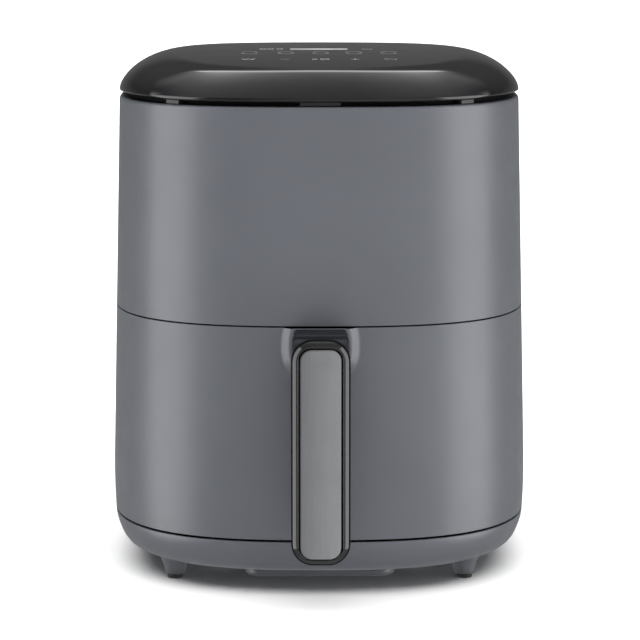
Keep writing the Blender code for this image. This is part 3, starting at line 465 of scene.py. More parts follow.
def build_grille():
    """Curved panel with a stack of round-ended slots."""
    z0, z1 = GRILLE[0].z, GRILLE[1].z
    start, end = (angle_at_x(x, z0, front=False) for x in (GRILLE[1].x, GRILLE[0].x))
    angles = even(start, end, 48)
    profile = [(-0.6 * MM, z) for z in even(z0, z1, 6)]
    grille = piece("rear_grille_skin", sheet_mesh(shell_rows(profile, angles), loop=False),
                   "housing", "trim_plastic", ("rear_vent_grille",), normals=False)
    solidify(grille, WALL)
    rows, half_w, half_h, corner = 7, 40 * MM, 1.7 * MM, 1.6 * MM
    pitch = (z1 - z0) / (rows + 1)
    slots = bmesh.new()
    for row in range(rows):
        middle = z0 + pitch * (row + 1)
        plan = rounded_plan(half_w, middle - half_h, middle + half_h, corner, 4)
        add_prism(slots, *([slots.verts.new((x, y, z)) for x, z in plan]
                           for y in (GRILLE[0].y - 0.03, GRILLE[1].y + 0.03)))
    cutter = tool("grille_slots", slots)
    boolean(grille, cutter)
    soften(grille, 0.3 * MM)
    settle(grille, (cutter,))


def build_rear_fittings():
    """Wall spacer, seated on the shell, and the turned cord gland."""
    plan = rounded_plan(SPACER[1].x, SPACER[0].z, SPACER[1].z, 7 * MM, 6)
    front = BODY_Y + BODY_HALF_D * 0.9
    rows = [[(x, y, z) for x, z in plan] for y in (front, SPACER[1].y)]
    spacer = piece("rear_spacer_skin", solid_mesh(rows), "housing", "trim_plastic",
                   ("rear_spacer",))
    seat = tool("spacer_seat", solid_mesh(shell_rows(((-0.2 * MM, LOW_SEAM_Z),
                                                      (-0.2 * MM, BODY_TOP_Z)), FULL_TURN)))
    boolean(spacer, seat)
    soften(spacer, 1.6 * MM, 3)
    settle(spacer, (seat,))
    at = (GLAND[0] + GLAND[1]) / 2
    reach_y = GLAND[1].y
    profile = ((3.5, -13.0), (7.2, -13.0), (7.4, -5.0), (9.6, -5.0), (10.0, -4.4), (9.4, -1.2),
               (7.2, 0.0), (4.4, 0.0), (3.7, -0.6), (3.5, -2.0))
    rows = turned_mesh((at.x, reach_y, at.z), [(r * MM, h * MM) for r, h in profile], "Y")
    piece("cord_gland_skin", solid_mesh(rows, closed=True), "housing", "trim_plastic",
          ("cord_gland",))


# ---- base -----------------------------------------------------------------------------------
FOOT_STUB = ((5.7, 2.7), (6.1, 3.0), (6.5, 5.0), (7.3, 8.5), (8.1, 11.2), (9.2, 12.6),
             (10.8, 13.6))            # radius and height, mm
FOOT_PAD = ((4.3, 0.0), (4.75, 0.25), (4.9, 0.7), (4.9, 2.1), (4.6, 2.5))
CORNERS = ("front_left", "front_right", "rear_left", "rear_right")


def build_base():
    """Curved tray under the shells, with feet, pads and plinth."""
    top = BASE[1].z
    profile = [(4.0, 33.15), (1.95, 33.15), (1.6, 32.95), (1.5, 32.5), (1.7, 30.4), (2.1, 28.4),
               (2.8, 26.0), (3.7, 23.5), (4.7, 21.0), (5.9, 18.7), (7.4, 16.7), (9.4, 15.0),
               (12.2, 13.7), (16.0, 12.8), (22.0, 12.2), (30.0, 12.0), (60.0, 12.0)]
    shift = top - 33.4 * MM
    rows = shell_rows([(i * MM, z * MM + shift) for i, z in profile][::-1], FULL_TURN)
    bm = sheet_mesh(rows)
    bm.verts.ensure_lookup_table()
    bm.faces.new([bm.verts[i] for i in range(AROUND)][::-1])
    base = piece("base_skin", bm, "housing", "body_paint", ("base_shell",), normals=False)
    solidify(base, 2.0 * MM)
    settle(base)
    for where in CORNERS:
        low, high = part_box(f"foot_pad_{where}")
        x, y = (low.x + high.x) / 2, (low.y + high.y) / 2
        pad_h = high.z
        rows = turned_mesh((x, y, 0.0), [(r * MM, h * MM) for r, h in FOOT_STUB])
        piece(f"foot_stub_{where}", solid_mesh(rows), "housing", "body_paint")
        rows = turned_mesh((x, y, 0.0), [(r * MM, h * pad_h / 2.5) for r, h in FOOT_PAD])
        piece(f"foot_pad_skin_{where}", solid_mesh(rows), "housing", "foot_rubber",
              (f"foot_pad_{where}",))
    plan = rounded_plan(PLINTH[1].x, PLINTH[0].y, PLINTH[1].y, 12 * MM, 8)
    rows = [[(x, y, z) for x, y in plan] for z in (PLINTH[0].z, PLINTH[1].z)]
    plinth = piece("plinth_skin", solid_mesh(rows), "housing", "body_paint", ("base_plinth",))
    soften(plinth, 2.4 * MM, 4)
    settle(plinth)


# ---- cap ------------------------------------------------------------------------------------
CAP_Z = CAP[0].z
CAP_RISE = CAP[1].z - CAP_Z
CAP_ROUND_W = 36 * MM
CAP_POWER = 1.76
CAP_CREST_Y = 70 * MM
CAP_DOME_R = 3.5
BAND_RUN = 15 * MM
BAND_BULGE = 0.045
BAND_FULL_X = 81 * MM
BAND_NONE_X = 103.6 * MM
BAND_END_POWER = 0.6
CREASE_X = 79 * MM
CREASE_DROP = 0.095               # share of the rise that the crease has lost at CREASE_X
CREASE_FADE = 0.8
CAP_AROUND = 560
CAP_WALL = 2.2 * MM
COLLAR_LUGS = (("lug_left", -94, -86, 2.0), ("lug_right", 86, 94, 2.0),
               ("centre_block", -12.5, 12.5, 3.6))   # from X, to X and inset, mm


def cap_lift(y):
    """How far the cap's top drops below its crest at that distance back."""
    return (y - BODY_Y - CAP_CREST_Y) ** 2 / (2 * CAP_DOME_R)


def cap_top(y):
    return CAP_Z + CAP_RISE - cap_lift(y)


def band_share(point):
    """1 on the front band, 0 off it, by how far that point is to the side."""
    if point.y > BODY_Y:
        return 0.0
    t = min(1.0, max(0.0, (BAND_NONE_X - abs(point.x)) / (BAND_NONE_X - BAND_FULL_X)))
    return smoothstep(t ** BAND_END_POWER)


def cap_rows(angles):
    """Rows from the cap's lower edge up to its top. Round the sides and back they climb a soft
    superellipse shoulder. Across the front they climb the leaning band to its crease first."""
    band_steps, top_steps = 14, 12
    total = band_steps + top_steps
    rows = []
    for step in range(total + 1):
        quarter = math.pi / 2 * step / total
        power = 2.0 / CAP_POWER
        side_in = CAP_ROUND_W * (1 - max(0.0, math.cos(quarter)) ** power)
        side_up = math.sin(quarter) ** power
        climb = min(1.0, step / band_steps)
        along = max(0.0, (step - band_steps) / top_steps) ** 1.6
        front_in = BAND_RUN * climb + (CAP_ROUND_W - BAND_RUN) * along
        front_up = climb + BAND_BULGE * 4 * climb * (1 - climb)
        settle_back = smoothstep(along / CREASE_FADE)
        row = []
        for a in angles:
            edge = body_point(0.0, BODY_TOP_Z, a)
            share = band_share(edge)
            inset = side_in + (front_in - side_in) * share
            drop = CREASE_DROP * (edge.x / CREASE_X) ** 2 * min(climb, 1.0 - settle_back)
            height = side_up + (front_up - drop - side_up) * share
            point = body_point(inset, BODY_TOP_Z, a)
            point.z = CAP_Z + (CAP_RISE - cap_lift(point.y)) * height
            row.append(point)
        rows.append(row)
    half_w, half_d = body_half(CAP_ROUND_W, BODY_TOP_Z)
    for scale in (0.94, 0.85, 0.7, 0.55, 0.4, 0.25, 0.1):
        row = []
        for a in angles:
            r = scale * reach(half_w, half_d, BODY_EXPONENT, a)
            x, y = r * math.cos(a), BODY_Y + r * math.sin(a)
            row.append(Vector((x, y, cap_top(y))))
        rows.append(row)
    return rows


def build_cap():
    rows = cap_rows(full_turn(CAP_AROUND))
    bm = sheet_mesh(rows)
    bm.verts.ensure_lookup_table()
    start = (len(rows) - 1) * CAP_AROUND
    bm.faces.new([bm.verts[start + i] for i in range(CAP_AROUND)])
    cap = piece("cap_skin", bm, "housing", "cap_gloss", ("top_cap",), normals=False)
    solidify(cap, CAP_WALL)
    settle(cap)
    profile = ((6.6, 0.0), (6.6, 4.6), (17.5, 4.6), (17.5, 0.0))
    rows = shell_rows([(i * MM, BODY_TOP_Z + 0.3 * MM + h * MM) for i, h in profile], FULL_TURN)
    collar = piece("collar_skin", solid_mesh(rows, closed=True), "housing", "bay_plastic",
                   ("cap_collar",))
    # The collar is repainted deeper black than its plastic: painted shade in the gap under the
    # cap
    repaint(collar, GAP_PAINTED_SHADE)
    soften(collar, 0.3 * MM)
    settle(collar)
    for name, x0, x1, depth in COLLAR_LUGS:
        angles = even(*(angle_at_x(x * MM, BODY_TOP_Z) for x in (x0, x1)), 8)
        profile = [(depth * MM, 0.3 * MM), (depth * MM, 3.6 * MM)]
        rows = shell_rows([(i, BODY_TOP_Z + h) for i, h in profile], angles)
        lug = piece(f"collar_{name}", sheet_mesh(rows, loop=False), "housing", "bay_plastic",
                    normals=False)
        solidify(lug, 4.4 * MM)
        soften(lug, 0.3 * MM)
        settle(lug)


# ---- drawer ---------------------------------------------------------------------------------
def boss_share(x, z):
    """0 on the plain front, 1 on the boss round the neck, rising as a bevel between them."""
    dz = z - BOSS_MIDDLE_Z
    half_h = BOSS_UP if dz > 0 else BOSS_DOWN
    q = (abs(x) / BOSS_HALF_W) ** BOSS_POWER + (abs(dz) / half_h) ** BOSS_POWER
    q **= 1 / BOSS_POWER
    t = min(1.0, max(0.0, (1.0 - q) * BOSS_HALF_W / BOSS_BEVEL))
    rim, top = 0.14, 0.16
    if t < rim:
        climb = t * t / (2 * rim)
    elif t > 1 - top:
        climb = 1 - rim / 2 - top / 2 - (1 - t) ** 2 / (2 * top)
    else:
        climb = t - rim / 2
    return climb / (1 - rim / 2 - top / 2)


def build_drawer_front():
    """Front shell with the boss. Columns and rows are close together only round the boss."""
    low, high = LOW_SEAM_Z + SEAM, MID_SEAM_Z - MID_SEAM
    turn = angle_at_y(SPLIT_Y - 2 * SEAM, MID_SEAM_Z)
    edge = BOSS_HALF_W + 4 * BOSS_STEP
    left, right = angle_at_x(-edge, high), angle_at_x(edge, high)
    steps = int(2 * edge / BOSS_STEP)
    centre = [angle_at_x(x, high) for x in even(-edge, edge, steps)]
    side_count = int(AROUND * (right - left + 2 * turn + math.pi) / (4 * math.pi))
    angles = even(-math.pi - turn, left, side_count)[:-1] + centre
    angles += even(right, turn, side_count)[1:]
    boss_from = BOSS_MIDDLE_Z - BOSS_DOWN - 2 * BOSS_STEP
    heights = even(low, low + SKIRT_HEIGHT, SKIRT_ROWS) + [low + 55 * MM, low + 80 * MM]
    heights += even(boss_from, high, int((high - boss_from) / BOSS_STEP))
    rows = []
    for z in heights:
        row = []
        for a in angles:
            point = body_point(skirt(z), z, a)
            if point.y < BODY_Y and abs(point.x) < BOSS_HALF_W:
                point.y -= BOSS_HEIGHT * boss_share(point.x, z)
            row.append(point)
        rows.append(row)
    skin = piece("drawer_skin", sheet_mesh(rows, loop=False), "drawer", "body_paint",
                 ("drawer_front",), normals=False)
    solidify(skin, WALL)
    soften(skin, EDGE_ROUND)
    settle(skin)


def bowl_point(half, z, angle):
    r = reach(half, half, BOWL_EXPONENT, angle)
    return Vector((r * math.cos(angle), BOWL_Y + r * math.sin(angle), z))


def bowl_rows(profile, angles=FULL_TURN):
    return [[bowl_point(half * MM, z * MM, a) for a in angles] for half, z in profile]


def build_inner_front():
    """Deck behind the front shell that carries the bowl's rim, with a skirt below it."""
    lip, reach_in = WALL + 0.3 * MM, 45 * MM
    deck = (153 * MM, 155 * MM)
    near, far = 15 * MM, 17 * MM
    profile = ((lip, deck[1]), (reach_in, deck[1]), (reach_in, deck[0]), (far, deck[0]),
               (far, 40 * MM), (near, 40 * MM), (near, deck[0]), (lip, deck[0]))
    inner = piece("inner_front_skin", solid_mesh(shell_rows(profile, FULL_TURN), closed=True),
                  "drawer", "bay_plastic", ("drawer_inner_front",))
    rear = tool("rear_cut", box_mesh((-0.4, 0.4), (BODY_Y - 48 * MM, 0.4), (0.0, 0.4)))
    clear = tool("bowl_cut", solid_mesh(bowl_rows(
        ((110.8, 36), (110.8, 149.6), (117.4, 149.6), (117.4, 152.7), (108.6, 152.7),
         (108.6, 170)))))
    for cutter in (rear, clear):
        boolean(inner, cutter)
    soften(inner, 0.4 * MM)
    settle(inner, (rear, clear))


# half width and height in mm, up the outside, over the rim and down the inside
BOWL_SECTION = ((60, 42.0), (86, 42.0), (94, 42.2), (98.4, 43.2), (101.2, 45.2), (103.0, 48.4),
                (104.0, 52.0), (107.0, 100.0), (109.6, 146.0), (110.0, 149.0), (111.2, 150.1),
                (115.6, 150.1), (116.7, 150.5), (117.0, 151.1), (116.6, 151.8), (115.4, 152.0),
                (110.4, 152.0), (109.0, 151.4), (108.3, 149.6), (105.4, 100.0), (102.4, 52.4),
                (101.2, 49.0), (99.6, 46.6), (97.2, 44.9), (93.4, 43.8), (86, 43.6), (60, 43.6))


def build_bowl():
    piece("bowl_skin", solid_mesh(bowl_rows(BOWL_SECTION)), "drawer", "nonstick_coat", ("bowl",))


PLATE_SECTION = ((99.2, 58.0), (99.5, 58.3), (99.5, 59.2), (99.2, 59.5))     # mm
PLATE_Z = (58 * MM, 59.5 * MM)
PLATE_HOLE_R = 12 * MM
SLOT_RINGS = ((28, 8, 7.0), (49, 16, 8.0), (72, 24, 8.5), (93, 32, 6.5))     # radius and half
SLOT_HALF_W = 2.3 * MM                                                       # length, mm
CUT_PAST = 3 * MM
LEG_AT = 60 * MM
BUMPER_HEIGHTS = ((-1.2, 54.0), (-0.3, 54.4), (0.0, 55.2), (0.0, 57.0), (-0.9, 57.6),
                  (-0.9, 59.9), (0.0, 60.5), (0.0, 62.8), (-0.3, 63.6), (-1.2, 64.0))


def plate_slots():
    """Cutter for the rings of round-ended slots, each pointing away from the middle."""
    cuts = bmesh.new()
    for radius, count, half_l in SLOT_RINGS:
        plan = rounded_plan(SLOT_HALF_W, -half_l * MM, half_l * MM, SLOT_HALF_W * 0.98, 3)
        for i in range(count):
            a = 2 * math.pi * (i + 0.5) / count
            share = radius / SLOT_RINGS[-1][0]
            r = radius * MM * (reach(1.0, 1.0, BOWL_EXPONENT, a) ** share) * 0.985
            at_x, at_y = r * math.cos(a), BOWL_Y + r * math.sin(a)
            c, s = math.cos(a - math.pi / 2), math.sin(a - math.pi / 2)
            add_prism(cuts, *([cuts.verts.new((at_x + u * c - v * s, at_y + u * s + v * c, z))
                               for u, v in plan]
                              for z in (PLATE_Z[0] - CUT_PAST, PLATE_Z[1] + CUT_PAST)))
    return tool("plate_slots", cuts)


def build_crisper():
    """Slotted plate on four legs, with silicone bumpers at its corners."""
    angles = full_turn(120)
    plate = piece("crisper_skin", solid_mesh(bowl_rows(PLATE_SECTION, angles)), "crisper",
                  "nonstick_coat", ("crisper_plate",))
    cutter = plate_slots()
    hole = tool("plate_hole", rod_mesh((0.0, BOWL_Y, PLATE_Z[0] - CUT_PAST), PLATE_HOLE_R,
                                       8 * MM))
    boolean(plate, cutter)
    boolean(plate, hole)
    soften(plate, 0.25 * MM, 1)
    settle(plate, (cutter, hole))
    leg = ((3.0 * MM, 44 * MM), (3.8 * MM, 45 * MM), (4.0 * MM, PLATE_Z[0]))
    for sx in (-1, 1):
        for sy in (-1, 1):
            rows = turned_mesh((sx * LEG_AT, BOWL_Y + sy * LEG_AT, 0.0), leg, sides=24)
            piece(f"crisper_leg_{sx + 1}{sy + 1}", solid_mesh(rows), "crisper", "nonstick_coat")
    for where in CORNERS:
        low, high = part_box(f"plate_bumper_{where}")
        x, y = (low.x + high.x) / 2, (low.y + high.y) / 2
        r = (high.x - low.x) / 2 / MM
        profile = [((r + change) * MM, height * MM) for change, height in BUMPER_HEIGHTS]
        rows = turned_mesh((x, y, 0.0), profile, sides=32)
        piece(f"bumper_skin_{where}", solid_mesh(rows), "crisper", "bumper_silicone",
              (f"plate_bumper_{where}",))


# ---- handle ---------------------------------------------------------------------------------
def rounded_plan(half_w, low, high, radius, steps=8):
    """Rounded rectangle in two axes: across, and from low to high."""
    points = []
    corners = ((half_w - radius, high - radius, 0.0), (radius - half_w, high - radius, 90.0),
               (radius - half_w, low + radius, 180.0), (half_w - radius, low + radius, 270.0))
    for x, z, start in corners:
        for step in range(steps + 1):
            a = math.radians(start + 90.0 * step / steps)
            points.append((x + radius * math.cos(a), z + radius * math.sin(a)))
    return points


def plan_ring(half_w, z0, z1, radius, y, inset=0.0):
    plan = rounded_plan(half_w - inset, z0 + inset, z1 - inset, radius - inset, 10)
    return [(x, y, z) for x, z in plan]


def build_handle():
    """Ring round the grip's plate: a matte outer rim in near-black painted shade, and a gloss
    bead inside it.
    """
    half_w = FRAME_RING[1].x + 0.2 * MM
    z0, z1 = FRAME_RING[0].z - 1.2 * MM, FRAME_RING[1].z
    front, back = FRAME_RING[0].y, FRAME_RING[1].y
    in_w, in_z0, in_z1 = INSERT[1].x, INSERT[0].z, INSERT[1].z
    outer, inner = 13 * MM, 7.3 * MM
    gap = 0.45 * MM
    edge = 0.85                       # width of the rim, mm
    profile = ((0.0, back), (0.0, front + 3.0 * MM), (0.2, front + 2.6 * MM),
               (edge, front + 2.4 * MM), (edge, back))
    rows = [plan_ring(half_w, z0, z1, outer, y, inset * MM) for inset, y in profile]
    # The outer rim is repainted near-black: painted shade along the ring's edge
    repaint(piece("handle_edge_skin", solid_mesh(rows, closed=True), "drawer", "handle_gloss"),
            GAP_PAINTED_SHADE)
    start = edge + 0.02
    rows = [plan_ring(half_w, z0, z1, outer, back, start * MM)]
    bead = ((start, 2.2), (1.05, 2.0), (1.45, 1.62), (2.1, 0.98), (2.8, 0.42), (3.3, 0.12),
            (3.7, 0.0))
    for inset, depth in bead:
        rows.append(plan_ring(half_w, z0, z1, outer, front + depth * MM, inset * MM))
    for depth, inset in ((0.35, -0.25), (1.1, 0.0)):
        rows.append(plan_ring(in_w + gap, in_z0 - gap, in_z1 + gap, inner, front + depth * MM,
                              inset * MM))
    rows.append(plan_ring(in_w + gap, in_z0 - gap, in_z1 + gap, inner, back))
    piece("handle_frame_skin", solid_mesh(rows, closed=True), "drawer", "handle_gloss",
          ("handle_frame",))
    build_insert(in_w, in_z0, in_z1)
    build_core(back + 0.3 * MM)


def build_insert(half_w, z0, z1):
    """Metal plate, slightly crowned from side to side, with a small rounded rim."""
    corner, crown = 7 * MM, 0.9 * MM
    edge_y = INSERT[0].y + 0.45 * MM
    rows = [plan_ring(half_w, z0, z1, corner, INSERT[1].y)]
    shrinks = [(0.0, 0.9), (0.12, 0.4), (0.4, 0.1), (0.8, 0.0)]
    shrinks += [(1.5 + step, 0.0) for step in range(11)]
    for inset, depth in shrinks:
        plan = rounded_plan(half_w - inset * MM, z0 + inset * MM, z1 - inset * MM,
                            max(corner - inset * MM, 0.3 * MM), 10)
        rows.append([(x, edge_y + depth * MM - crown * (1 - (x / half_w) ** 2), z)
                     for x, z in plan])
    piece("handle_insert_skin", solid_mesh(rows), "drawer", "handle_metal", ("handle_insert",))


def core_section(inner, outer, half_w, corner):
    """Rounded section spanning from the grip side to the outer side."""
    span = Vector((0.0, outer[0] - inner[0], outer[1] - inner[1]))
    length = span.length
    along = span / length
    plan = rounded_plan(half_w, 0.0, length, min(corner, half_w * 0.9, length * 0.45), 5)
    return [Vector((x, inner[0], inner[1])) + along * t for x, t in plan]


def neck_stations(front, rear, end):
    """Sections from inside the drawer out and down into the grip. Each has its grip-side point
    and its outer point, as (y, height in mm), and its half width in mm."""
    return (((end, 140.0), (end, 163.2), 15.9),
            ((end - 14 * MM, 139.4), (end - 14 * MM, 163.0), 16.2),
            ((end - 28 * MM, 136.6), (end - 27 * MM, 162.6), 16.5),
            ((rear + 4.6 * MM, 131.6), (front + 9.6 * MM, 161.2), 16.8),
            ((rear + 1.4 * MM, 125.0), (front + 3.4 * MM, 160.9), 16.9),
            ((rear + 0.2 * MM, 117.0), (front + 0.4 * MM, 155.5), 17.0),
            ((rear, 108.0), (front, 140.0), 17.0),
            ((rear, 98.0), (front, 112.0), 17.0),
            ((rear, 84.0), (front, 88.0), 16.9),
            ((rear, 60.0), (front, 60.0), 16.9))


def build_core(front):
    """Neck and grip back in one piece, rounded off at its foot. Its near-black paint is painted
    shade: the neck is really body grey, shaded where it sits under the housing.
    """
    grip_depth, grip_half_w = 11.5 * MM, 16.9 * MM
    neck_round, grip_round = 2.4 * MM, 3.5 * MM
    foot_round, foot_ease, foot_steps = 12.4 * MM, 3.0 * MM, 9
    rear = front + grip_depth
    end = CORE[1].y + 1 * MM
    rows = [core_section((a[0], a[1] * MM), (b[0], b[1] * MM), w * MM, neck_round)
            for a, b, w in neck_stations(front, rear, end)]
    for step in range(foot_steps):
        a = math.pi / 2 * step / foot_steps
        z = CORE[0].z + foot_round * (1 - math.sin(a))
        w = grip_half_w - foot_round * (1 - math.cos(a))
        ease = foot_ease * (1 - math.cos(a))
        rows.append(core_section((rear - ease, z), (front, z), w, grip_round))
    core = piece("handle_core_skin", solid_mesh(rows), "drawer", "body_paint", ("handle_core",))
    # The neck is repainted near-black in place of its body-grey paint: painted shade
    repaint(core, NECK_PAINTED_SHADE)


# ---- controls printed on the cap ------------------------------------------------------------
def print_with_painted_glow(name, colour, glow):
    mat, shader = principled(name, colour, 0.45)
    # The emission is a painted glow: it brightens the print though it is no lamp
    shader.inputs["Emission Color"].default_value = (*colour, 1.0)
    shader.inputs["Emission Strength"].default_value = glow
    polish = spread(mat, noise(mat, 400.0, 2.0), 0.4, 0.5)
    mat.node_tree.links.new(polish, shader.inputs["Roughness"])
    return mat


def on_cap(outlines, name, mat, thickness=0.10 * MM):
    """Thin printed shapes lying on the cap's top. Each outline is a closed list of (x, y)."""
    bm = bmesh.new()
    for outline in outlines:
        lower = [bm.verts.new((x, y, cap_top(y) - thickness)) for x, y in outline]
        upper = [bm.verts.new((x, y, cap_top(y) + thickness)) for x, y in outline]
        bm.faces.new(upper)
        bm.faces.new(reversed(lower))
        for i in range(len(outline)):
            j = (i + 1) % len(outline)
            bm.faces.new((lower[i], lower[j], upper[j], upper[i]))
    return repaint(piece(name, bm, "housing", "cap_gloss"), mat)


def strip(x0, y0, x1, y1, half):
    """Bar from one point to another."""
    along = Vector((x1 - x0, y1 - y0)).normalized()
    across = Vector((-along.y, along.x)) * half
    a, b = Vector((x0, y0)), Vector((x1, y1))
    return [tuple(a - across), tuple(b - across), tuple(b + across), tuple(a + across)]


def ring_strips(cx, cy, rx, ry, half, start=0.0, sweep=360.0, count=20):
    points = []
    for i in range(count + 1):
        a = math.radians(start + sweep * i / count)
        points.append((cx + rx * math.cos(a), cy + ry * math.sin(a)))
    return [strip(*points[i], *points[i + 1], half) for i in range(count)]


ICON_COLUMNS = (-44.0, -21.0, 1.0, 22.0, 44.0)     # mm from the middle
FAINT_COLUMNS = (1, 4)
ICON_ROW_Y = BODY_Y - 14 * MM
ICON_HALF = (5.2 * MM, 9.5 * MM)
LABEL_ROW_Y = BODY_Y - 62 * MM
ZIGZAG = ((-4, 4), (-2, -3), (0, 3), (2, -3), (4, 4))


def label_mark(index, x):
    """Generic mark in front of one icon."""
    y = LABEL_ROW_Y
    if index == 0:
        return [strip(x + a[0] * MM, y + a[1] * MM, x + b[0] * MM, y + b[1] * MM, 0.4 * MM)
                for a, b in zip(ZIGZAG, ZIGZAG[1:])]
    if index == 1:
        return [strip(x - 3 * MM, y, x + 3 * MM, y, 0.5 * MM)]
    if index == 2:
        return (ring_strips(x - 4 * MM, y, 1.3 * MM, 2.6 * MM, 0.4 * MM, count=10)
                + ring_strips(x + 2.2 * MM, y, 2.6 * MM, 3.4 * MM, 0.4 * MM, count=12))
    if index == 3:
        return [strip(x - 2.5 * MM, y, x + 2.5 * MM, y, 0.5 * MM),
                strip(x, y - 4 * MM, x, y + 4 * MM, 0.35 * MM)]
    return ring_strips(x, y, 3.6 * MM, 4.6 * MM, 0.35 * MM, 60.0, 330.0, 14)


def build_controls():
    """Display window, a row of split rings with marks in front of them, and status rings."""
    # Display window and icons: ink colour plus a small painted glow
    bright = print_with_painted_glow("display_glow", (0.27, 0.275, 0.28), 0.05)
    ink = print_with_painted_glow("printed_icons", (0.22, 0.22, 0.225), 0.02)
    faint = print_with_painted_glow("faint_icons", (0.12, 0.12, 0.125), 0.01)
    window = rounded_plan(18.6 * MM, BODY_Y + 13 * MM, BODY_Y + 24.5 * MM, 2 * MM, 4)
    on_cap([window], "display_window", bright)
    marks, dim = [], []
    for index, column in enumerate(ICON_COLUMNS):
        x = column * MM
        for start in (20.0, 200.0):
            dim += ring_strips(x, ICON_ROW_Y, *ICON_HALF, 0.55 * MM, start, 140.0, 8)
        layer = dim if index in FAINT_COLUMNS else marks
        layer += label_mark(index, x)
    for x in (-36.0, -31.0, -25.0):
        marks += ring_strips(x * MM, BODY_Y + 20 * MM, 1.9 * MM, 3.6 * MM, 0.4 * MM, count=10)
    dim += ring_strips(31.0 * MM, BODY_Y + 18 * MM, 3.2 * MM, 3.6 * MM, 0.3 * MM, count=12)
    on_cap(marks, "printed_marks", ink)
    on_cap(dim, "printed_marks_faint", faint)


# ---- CAD nodes that stay --------------------------------------------------------------------
def finish_cad_nodes():
    """Every node that keeps its CAD shape gets its slot's full material."""
    slots = {entry["node"]: entry["material_slot"] for entry in frame["record"]["subparts"]}
    for name, obj in frame["nodes"].items():
        if not obj.hide_render:
            repaint(obj, MATS[slots[name]])


# ---- camera, light and floor ----------------------------------------------------------------
def area_light(name, size, at, target, radiance):
    data = bpy.data.lights.new(name, "AREA")
    data.shape = "RECTANGLE"
    data.size, data.size_y = size
    data.energy = radiance * math.pi * size[0] * size[1]
    obj = bpy.data.objects.new(name, data)
    obj.location = at
    aim = Vector(target) - Vector(at)
    obj.rotation_euler = aim.to_track_quat("-Z", "Y").to_euler()
    bpy.context.scene.collection.objects.link(obj)
    return obj


ROOM_LEVELS = ((0.0, 0.45), (0.40, 0.40), (0.50, 0.15), (0.57, 0.12), (0.63, 0.06),
               (0.72, 0.10), (1.0, 0.18))     # from straight down to straight up
FILL_FROM = (0.55, -0.83, 0.0)
FILL_START = 0.45
FILL_LEVEL = 0.6


def set_levels(ramp, levels):
    """Grey levels along a colour ramp, as (position, level) pairs."""
    elements = ramp.color_ramp.elements
    elements[0].position = levels[0][0]
    elements[1].position = levels[-1][0]
    for position, _ in levels[1:-1]:
        elements.new(position)
    for element, (_, level) in zip(elements, levels):
        element.color = (level, level, level, 1.0)


def build_stage():
    bm = bmesh.new()
    bmesh.ops.create_grid(bm, x_segments=1, y_segments=1, size=30.0)
    mesh = bpy.data.meshes.new("floor")
    bm.to_mesh(mesh)
    bm.free()
    floor = bpy.data.objects.new("floor", mesh)
    mat, shader = principled("pale_floor", (0.90, 0.90, 0.90), 0.9)
    shader.inputs["Specular IOR Level"].default_value = 0.0
    mesh.materials.append(mat)
    bpy.context.scene.collection.objects.link(floor)
    floor.visible_glossy = False
    floor.visible_shadow = False


def build_world():
    """Dim room, darkest just above the horizon, brighter to the front right."""
    world = bpy.data.worlds.new("studio")
    bpy.context.scene.world = world
    world.use_nodes = True
    tree = world.node_tree
    background = tree.nodes["Background"]
    place = tree.nodes.new("ShaderNodeTexCoord")
    split = tree.nodes.new("ShaderNodeSeparateXYZ")
    height = tree.nodes.new("ShaderNodeMapRange")
    height.inputs["From Min"].default_value = -1.0
    ramp = tree.nodes.new("ShaderNodeValToRGB")
    tree.links.new(place.outputs["Generated"], split.inputs["Vector"])
    tree.links.new(split.outputs["Z"], height.inputs["Value"])
    tree.links.new(height.outputs["Result"], ramp.inputs["Fac"])
    set_levels(ramp, ROOM_LEVELS)
    facing = tree.nodes.new("ShaderNodeVectorMath")
    facing.operation = "DOT_PRODUCT"
    facing.inputs[1].default_value = FILL_FROM
    fill = tree.nodes.new("ShaderNodeMapRange")
    fill.inputs["From Min"].default_value = FILL_START
    fill.inputs["To Max"].default_value = FILL_LEVEL
    tree.links.new(place.outputs["Generated"], facing.inputs[0])
    tree.links.new(facing.outputs["Value"], fill.inputs["Value"])
    total = tree.nodes.new("ShaderNodeVectorMath")
    total.operation = "ADD"
    tree.links.new(ramp.outputs["Color"], total.inputs[0])
    tree.links.new(fill.outputs["Result"], total.inputs[1])
    tree.links.new(total.outputs["Vector"], background.inputs["Color"])
    background.inputs["Strength"].default_value = 1.0


CAMERA_BACK = 1.940               # in front of the body's axis
CAMERA_X = -0.0112
CAMERA_Z = 0.4206
CAMERA_PITCH = 8.005              # degrees down
CAMERA_YAW = 0.351
CAMERA_LENS = 170.8               # mm, on a 36 mm sensor


def build_camera():
    data = bpy.data.cameras.new("camera")
    data.lens = CAMERA_LENS
    data.sensor_width = 36.0
    camera = bpy.data.objects.new("camera", data)
    camera.location = (CAMERA_X, BODY_Y - CAMERA_BACK, CAMERA_Z)
    camera.rotation_euler = (math.radians(90 - CAMERA_PITCH), 0.0, -math.radians(CAMERA_YAW))
    bpy.context.scene.collection.objects.link(camera)
    bpy.context.scene.camera = camera
    bpy.context.scene.view_settings.view_transform = "Standard"


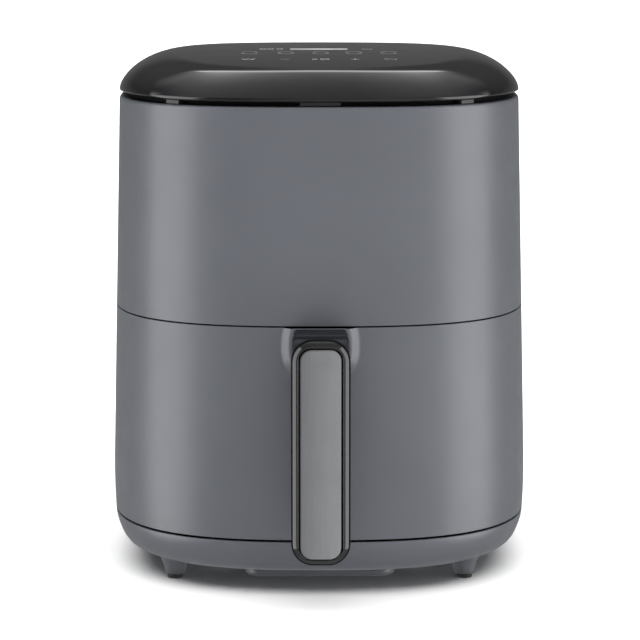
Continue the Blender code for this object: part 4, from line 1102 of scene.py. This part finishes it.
TOP_SIZE = 3.2
TOP_AT = (0.0, 0.70, 1.7)
TOP_RADIANCE = 5.0
SIDE_SIZE = (1.25, 2.2)
SIDE_AT = (1.5, -0.25, 0.35)
SIDE_AIM = (0.0, BODY_Y, 0.17)
SIDE_RADIANCE = 3.1
SUN_STRENGTH = 5.4
SUN_ANGLE = 95.0
TOP_PROFILE = ((0.0, 1.0), (0.48, 1.0), (0.53, 0.42), (0.62, 0.15), (0.72, 0.055), (0.79, 0.03),
               (0.87, 0.015), (1.0, 0.0))


def fade_light(light):
    """Overhead box brightest in its middle, fading towards its rim."""
    light.use_nodes = True
    tree = light.node_tree
    emission = tree.nodes["Emission"]
    place = tree.nodes.new("ShaderNodeNewGeometry")
    offset = tree.nodes.new("ShaderNodeVectorMath")
    offset.operation = "SUBTRACT"
    offset.inputs[1].default_value = (0.5, 0.5, 0.0)
    flat = tree.nodes.new("ShaderNodeVectorMath")
    flat.operation = "MULTIPLY"
    flat.inputs[1].default_value = (2.0, 2.0, 0.0)
    away = tree.nodes.new("ShaderNodeVectorMath")
    away.operation = "LENGTH"
    ramp = tree.nodes.new("ShaderNodeValToRGB")
    tree.links.new(place.outputs["Parametric"], offset.inputs[0])
    tree.links.new(offset.outputs["Vector"], flat.inputs[0])
    tree.links.new(flat.outputs["Vector"], away.inputs[0])
    tree.links.new(away.outputs["Value"], ramp.inputs["Fac"])
    tree.links.new(ramp.outputs["Color"], emission.inputs["Strength"])
    set_levels(ramp, TOP_PROFILE)


def build_lights():
    """Overhead and side softboxes shape the gloss; a wide soft sun from above lights the rest."""
    below = (TOP_AT[0], TOP_AT[1], 0.0)
    top = area_light("top_box", (TOP_SIZE, TOP_SIZE), TOP_AT, below, TOP_RADIANCE)
    fade_light(top.data)
    boxes = [top]
    for side in (-1, 1):
        at = (side * SIDE_AT[0], *SIDE_AT[1:])
        boxes.append(area_light(f"side_box_{side}", SIDE_SIZE, at, SIDE_AIM, SIDE_RADIANCE))
    for box in boxes:
        box.visible_diffuse = False
        box.visible_camera = False
    data = bpy.data.lights.new("sky_sun", "SUN")
    data.energy = SUN_STRENGTH
    data.angle = math.radians(SUN_ANGLE)
    sun = bpy.data.objects.new("sky_sun", data)
    bpy.context.scene.collection.objects.link(sun)
    sun.visible_glossy = False


build_camera()
build_stage()
build_world()
build_lights()
build_housing()
build_grille()
build_rear_fittings()
build_base()
build_cap()
build_controls()
build_drawer_front()
build_inner_front()
build_bowl()
build_crisper()
build_handle()
finish_cad_nodes()
